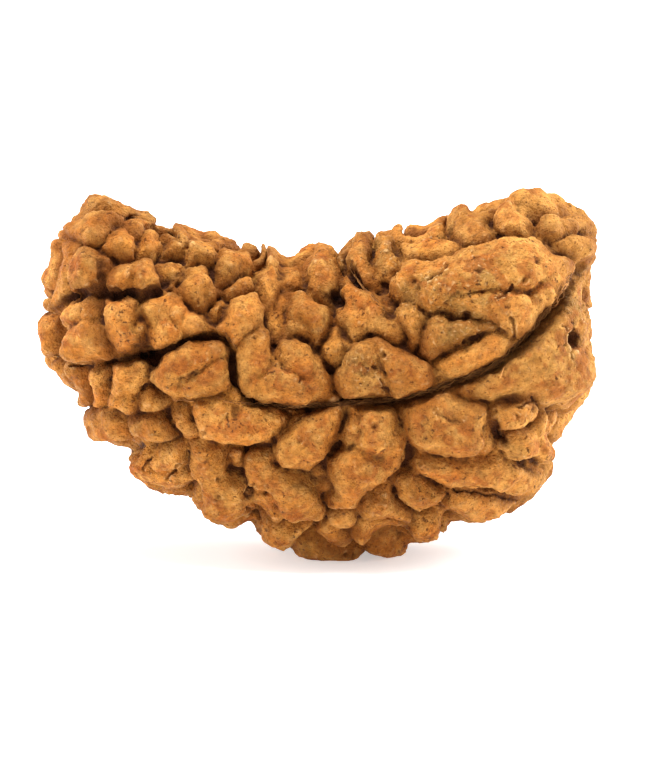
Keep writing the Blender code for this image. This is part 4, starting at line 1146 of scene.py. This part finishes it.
def fibreTree(material):
    t, given = openTree("grooveFibres", fibres["inputs"])
    path = t.add("GeometryNodeResampleCurve", {"mode": "LENGTH"}, Curve=given["Geometry"],
                 Length=given["Spacing"])
    strands = t.add("GeometryNodeDuplicateElements", {"domain": "SPLINE"}, Geometry=path,
                    Amount=given["Strands"])
    marked = t.store(strands, "strand", strands.outputs["Duplicate Index"], "CURVE")
    strand = t.stored("strand")

    def ownShare(step):  # a random share for each strand
        seed = t.math("ADD", given["Seed"], step)
        return t.add("FunctionNodeRandomValue", {"data_type": "FLOAT"}, ID=strand, Seed=seed).outputs[1]

    key = t.math("ADD", t.times(strand, 3.7), t.times(given["Seed"], 17.0))
    shift = t.add("ShaderNodeCombineXYZ", X=key, Y=t.times(key, 0.37), Z=key)
    perSize = t.math("DIVIDE", 1.0, given["Wander Size"])
    place = t.vector("SCALE", t.add("GeometryNodeInputPosition"), scale=perSize)
    wander = t.noise(t.vector("ADD", place, shift), 1.0, 2.0).outputs["Color"]
    wander = t.vector("SCALE", t.vector("SUBTRACT", wander, (0.5, 0.5, 0.5)), scale=given["Wander"])
    own = t.add("FunctionNodeRandomValue", {"data_type": "FLOAT_VECTOR"}, ID=strand, Seed=given["Seed"])
    t.set(own, 0, (-1.0, -1.0, -1.0))
    t.set(own, 1, (1.0, 1.0, 1.0))
    offset = t.vector("ADD", wander, t.vector("SCALE", own, scale=given["Own Place"]))
    offset = t.vector("SCALE", offset, scale=given["Spread"])
    moved = t.add("GeometryNodeSetPosition", Geometry=marked, Offset=offset)
    reach = t.add("ShaderNodeMapRange", Value=ownShare(2.0), To_Min=given["Shortest"], To_Max=given["Longest"])
    begin = t.times(ownShare(1.0), t.math("SUBTRACT", 1.0, reach))
    end = t.math("ADD", begin, reach)
    cut = t.add("GeometryNodeTrimCurve", {"mode": "FACTOR"}, Curve=moved, Start=begin, End=end)
    width = t.times(given["Radius"], t.math("ADD", 0.6, ownShare(3.0)))
    ring = t.add("GeometryNodeCurvePrimitiveCircle", {"mode": "RADIUS"}, Resolution=fibres["sides"], Radius=1.0)
    solid = t.add("GeometryNodeCurveToMesh", Curve=cut, Scale=width, Profile_Curve=ring, Fill_Caps=True)
    return closedTree(t, t.add("GeometryNodeSetShadeSmooth", Geometry=solid), material)


def fibreMaterial():
    material, t, surface = principled("fibreBrown")
    own = t.math("FRACT", t.times(t.stored("strand"), 0.618))
    light = t.math("ADD", t.stored("tone"), t.times(t.math("POWER", own, 2.0), fibres["lighter"]), clamp=True)
    mixed = t.add("ShaderNodeMix", {"data_type": "RGBA"})
    t.set(mixed, 0, light)
    t.set(mixed, 6, fibres["dark"])
    t.set(mixed, 7, fibres["light"])
    t.set(surface, "Base Color", mixed.outputs[2])
    t.set(surface, "Roughness", fibres["roughness"])
    t.set(surface, "Specular IOR Level", fibres["specular"])
    return material


def pathPoint(surface, across, up, lift):  # the drawn point, a little in front of the shell
    far = drawnRight * across + drawnUp * (up - drawing["footUp"]) + toViewer * drawing["aimFrom"]
    return surface.ray_cast(far, -toViewer)[0] + toViewer * lift


def pathCurve(surface, drawn, lift):
    line = []
    for (x0, y0), (x1, y1) in zip(drawn[:-1], drawn[1:]):
        count = max(2, int(math.hypot(x1 - x0, y1 - y0) / fibres["pathStep"]))
        line += [(x0 + (x1 - x0) * k / count, y0 + (y1 - y0) * k / count) for k in range(count)]
    line.append(drawn[-1])
    spots = np.array([pathPoint(surface, x, y, lift) for x, y in line])
    for _ in range(fibres["pathSmooth"]):
        spots[1:-1] = 0.5 * spots[1:-1] + 0.25 * (spots[:-2] + spots[2:])
    curve = bpy.data.curves.new("fibrePath", "CURVE")
    curve.dimensions = "3D"
    spline = curve.splines.new("POLY")
    spline.points.add(len(spots) - 1)
    for point, spot in zip(spline.points, spots):
        point.co = (*spot, 1)
    return curve


def grooveFibres(shellMesh):
    surface = searchTree(shellMesh)
    material = fibreMaterial()
    tree = fibreTree(material)
    inputs = fibres["inputs"]
    joined = bmesh.new()
    for number, (drawn, strands, spread, tone, lift) in enumerate(fibres["paths"]):
        values = {**inputs, "Strands": strands, "Spread": spread, "Seed": inputs["Seed"] + number}
        bundle = treeResult(pathCurve(surface, drawn, lift), tree, values)
        keep(bundle, "tone", np.full(len(bundle.vertices), tone))
        joined.from_mesh(bundle)
    mesh = bpy.data.meshes.new("grooveFibres")
    joined.to_mesh(mesh)
    joined.free()
    mesh.materials.append(material)
    mesh.shade_smooth()
    print("groove fibres:", len(mesh.polygons), "faces")
    return mesh


def placed(name, mesh, scale):
    mesh.transform(Matrix.Scale(scale, 4))
    mesh.name = name
    piece = linked(name, mesh)
    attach(piece, "root")
    return piece


shellMesh = fineShell()
fibresMesh = grooveFibres(shellMesh)
scale = (cadHigh.x - cadLow.x) / np.ptp(pointsOf(shellMesh)[:, 0])
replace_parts(placed("rudrakshaShell", shellMesh, scale), "rudraksha_stone")
placed("grooveFibres", fibresMesh, scale)
print("pieces placed, at scale", scale)


def plainFloor():
    size = studio["floorSize"]
    mesh = bpy.data.meshes.new("whiteFloor")
    corners = [(-size, -size, 0), (size, -size, 0), (size, size, 0), (-size, size, 0)]
    mesh.from_pydata(corners, [], [(0, 1, 2, 3)])
    material, t, board = principled("whiteBoard")
    t.set(board, "Base Color", studio["floorColour"])
    t.set(board, "Roughness", studio["floorRoughness"])
    t.set(board, "Specular IOR Level", 0.0)
    t.set(board, "Emission Color", (1, 1, 1, 1))
    t.set(board, "Emission Strength", studio["floorGlow"])
    mesh.materials.append(material)
    floor = linked("whiteFloor", mesh)


def aimed(thing, place, direction):
    thing.location = place
    thing.rotation_mode = "QUATERNION"
    thing.rotation_quaternion = direction.to_track_quat("-Z", "Y")


def softBox(name, place, size, power):
    lamp = bpy.data.lights.new(name, "AREA")
    lamp.shape = "DISK"
    lamp.size = size
    lamp.energy = power
    aimed(linked(name, lamp), place, Vector(studio["lampAim"]) - Vector(place))


def camera():
    s = studio
    lens = bpy.data.cameras.new("camera")
    lens.lens = s["lens"]
    lens.sensor_width = s["sensor"]
    lens.clip_start, lens.clip_end = s["clip"]
    high = s["pictureHeight"] / s["pixelsPerMillimetre"] * scale
    across, up = s["pictureMiddle"]
    target = (drawnRight * across + drawnUp * (up - drawing["footUp"])) * scale
    thing = linked("camera", lens)
    aimed(thing, target + toViewer * (high * s["lens"] / s["sensor"]), -toViewer)
    bpy.context.scene.camera = thing


plainFloor()
for number, lamp in enumerate(studio["lamps"]):
    softBox("softBox" + str(number), *lamp)
camera()
world = bpy.data.worlds.new("softRoom")
world.use_nodes = True
world.node_tree.nodes["Background"].inputs["Color"].default_value = (1, 1, 1, 1)
world.node_tree.nodes["Background"].inputs["Strength"].default_value = studio["worldStrength"]
bpy.context.scene.world = world
bpy.context.scene.view_settings.view_transform = "Standard"
print("stage set")
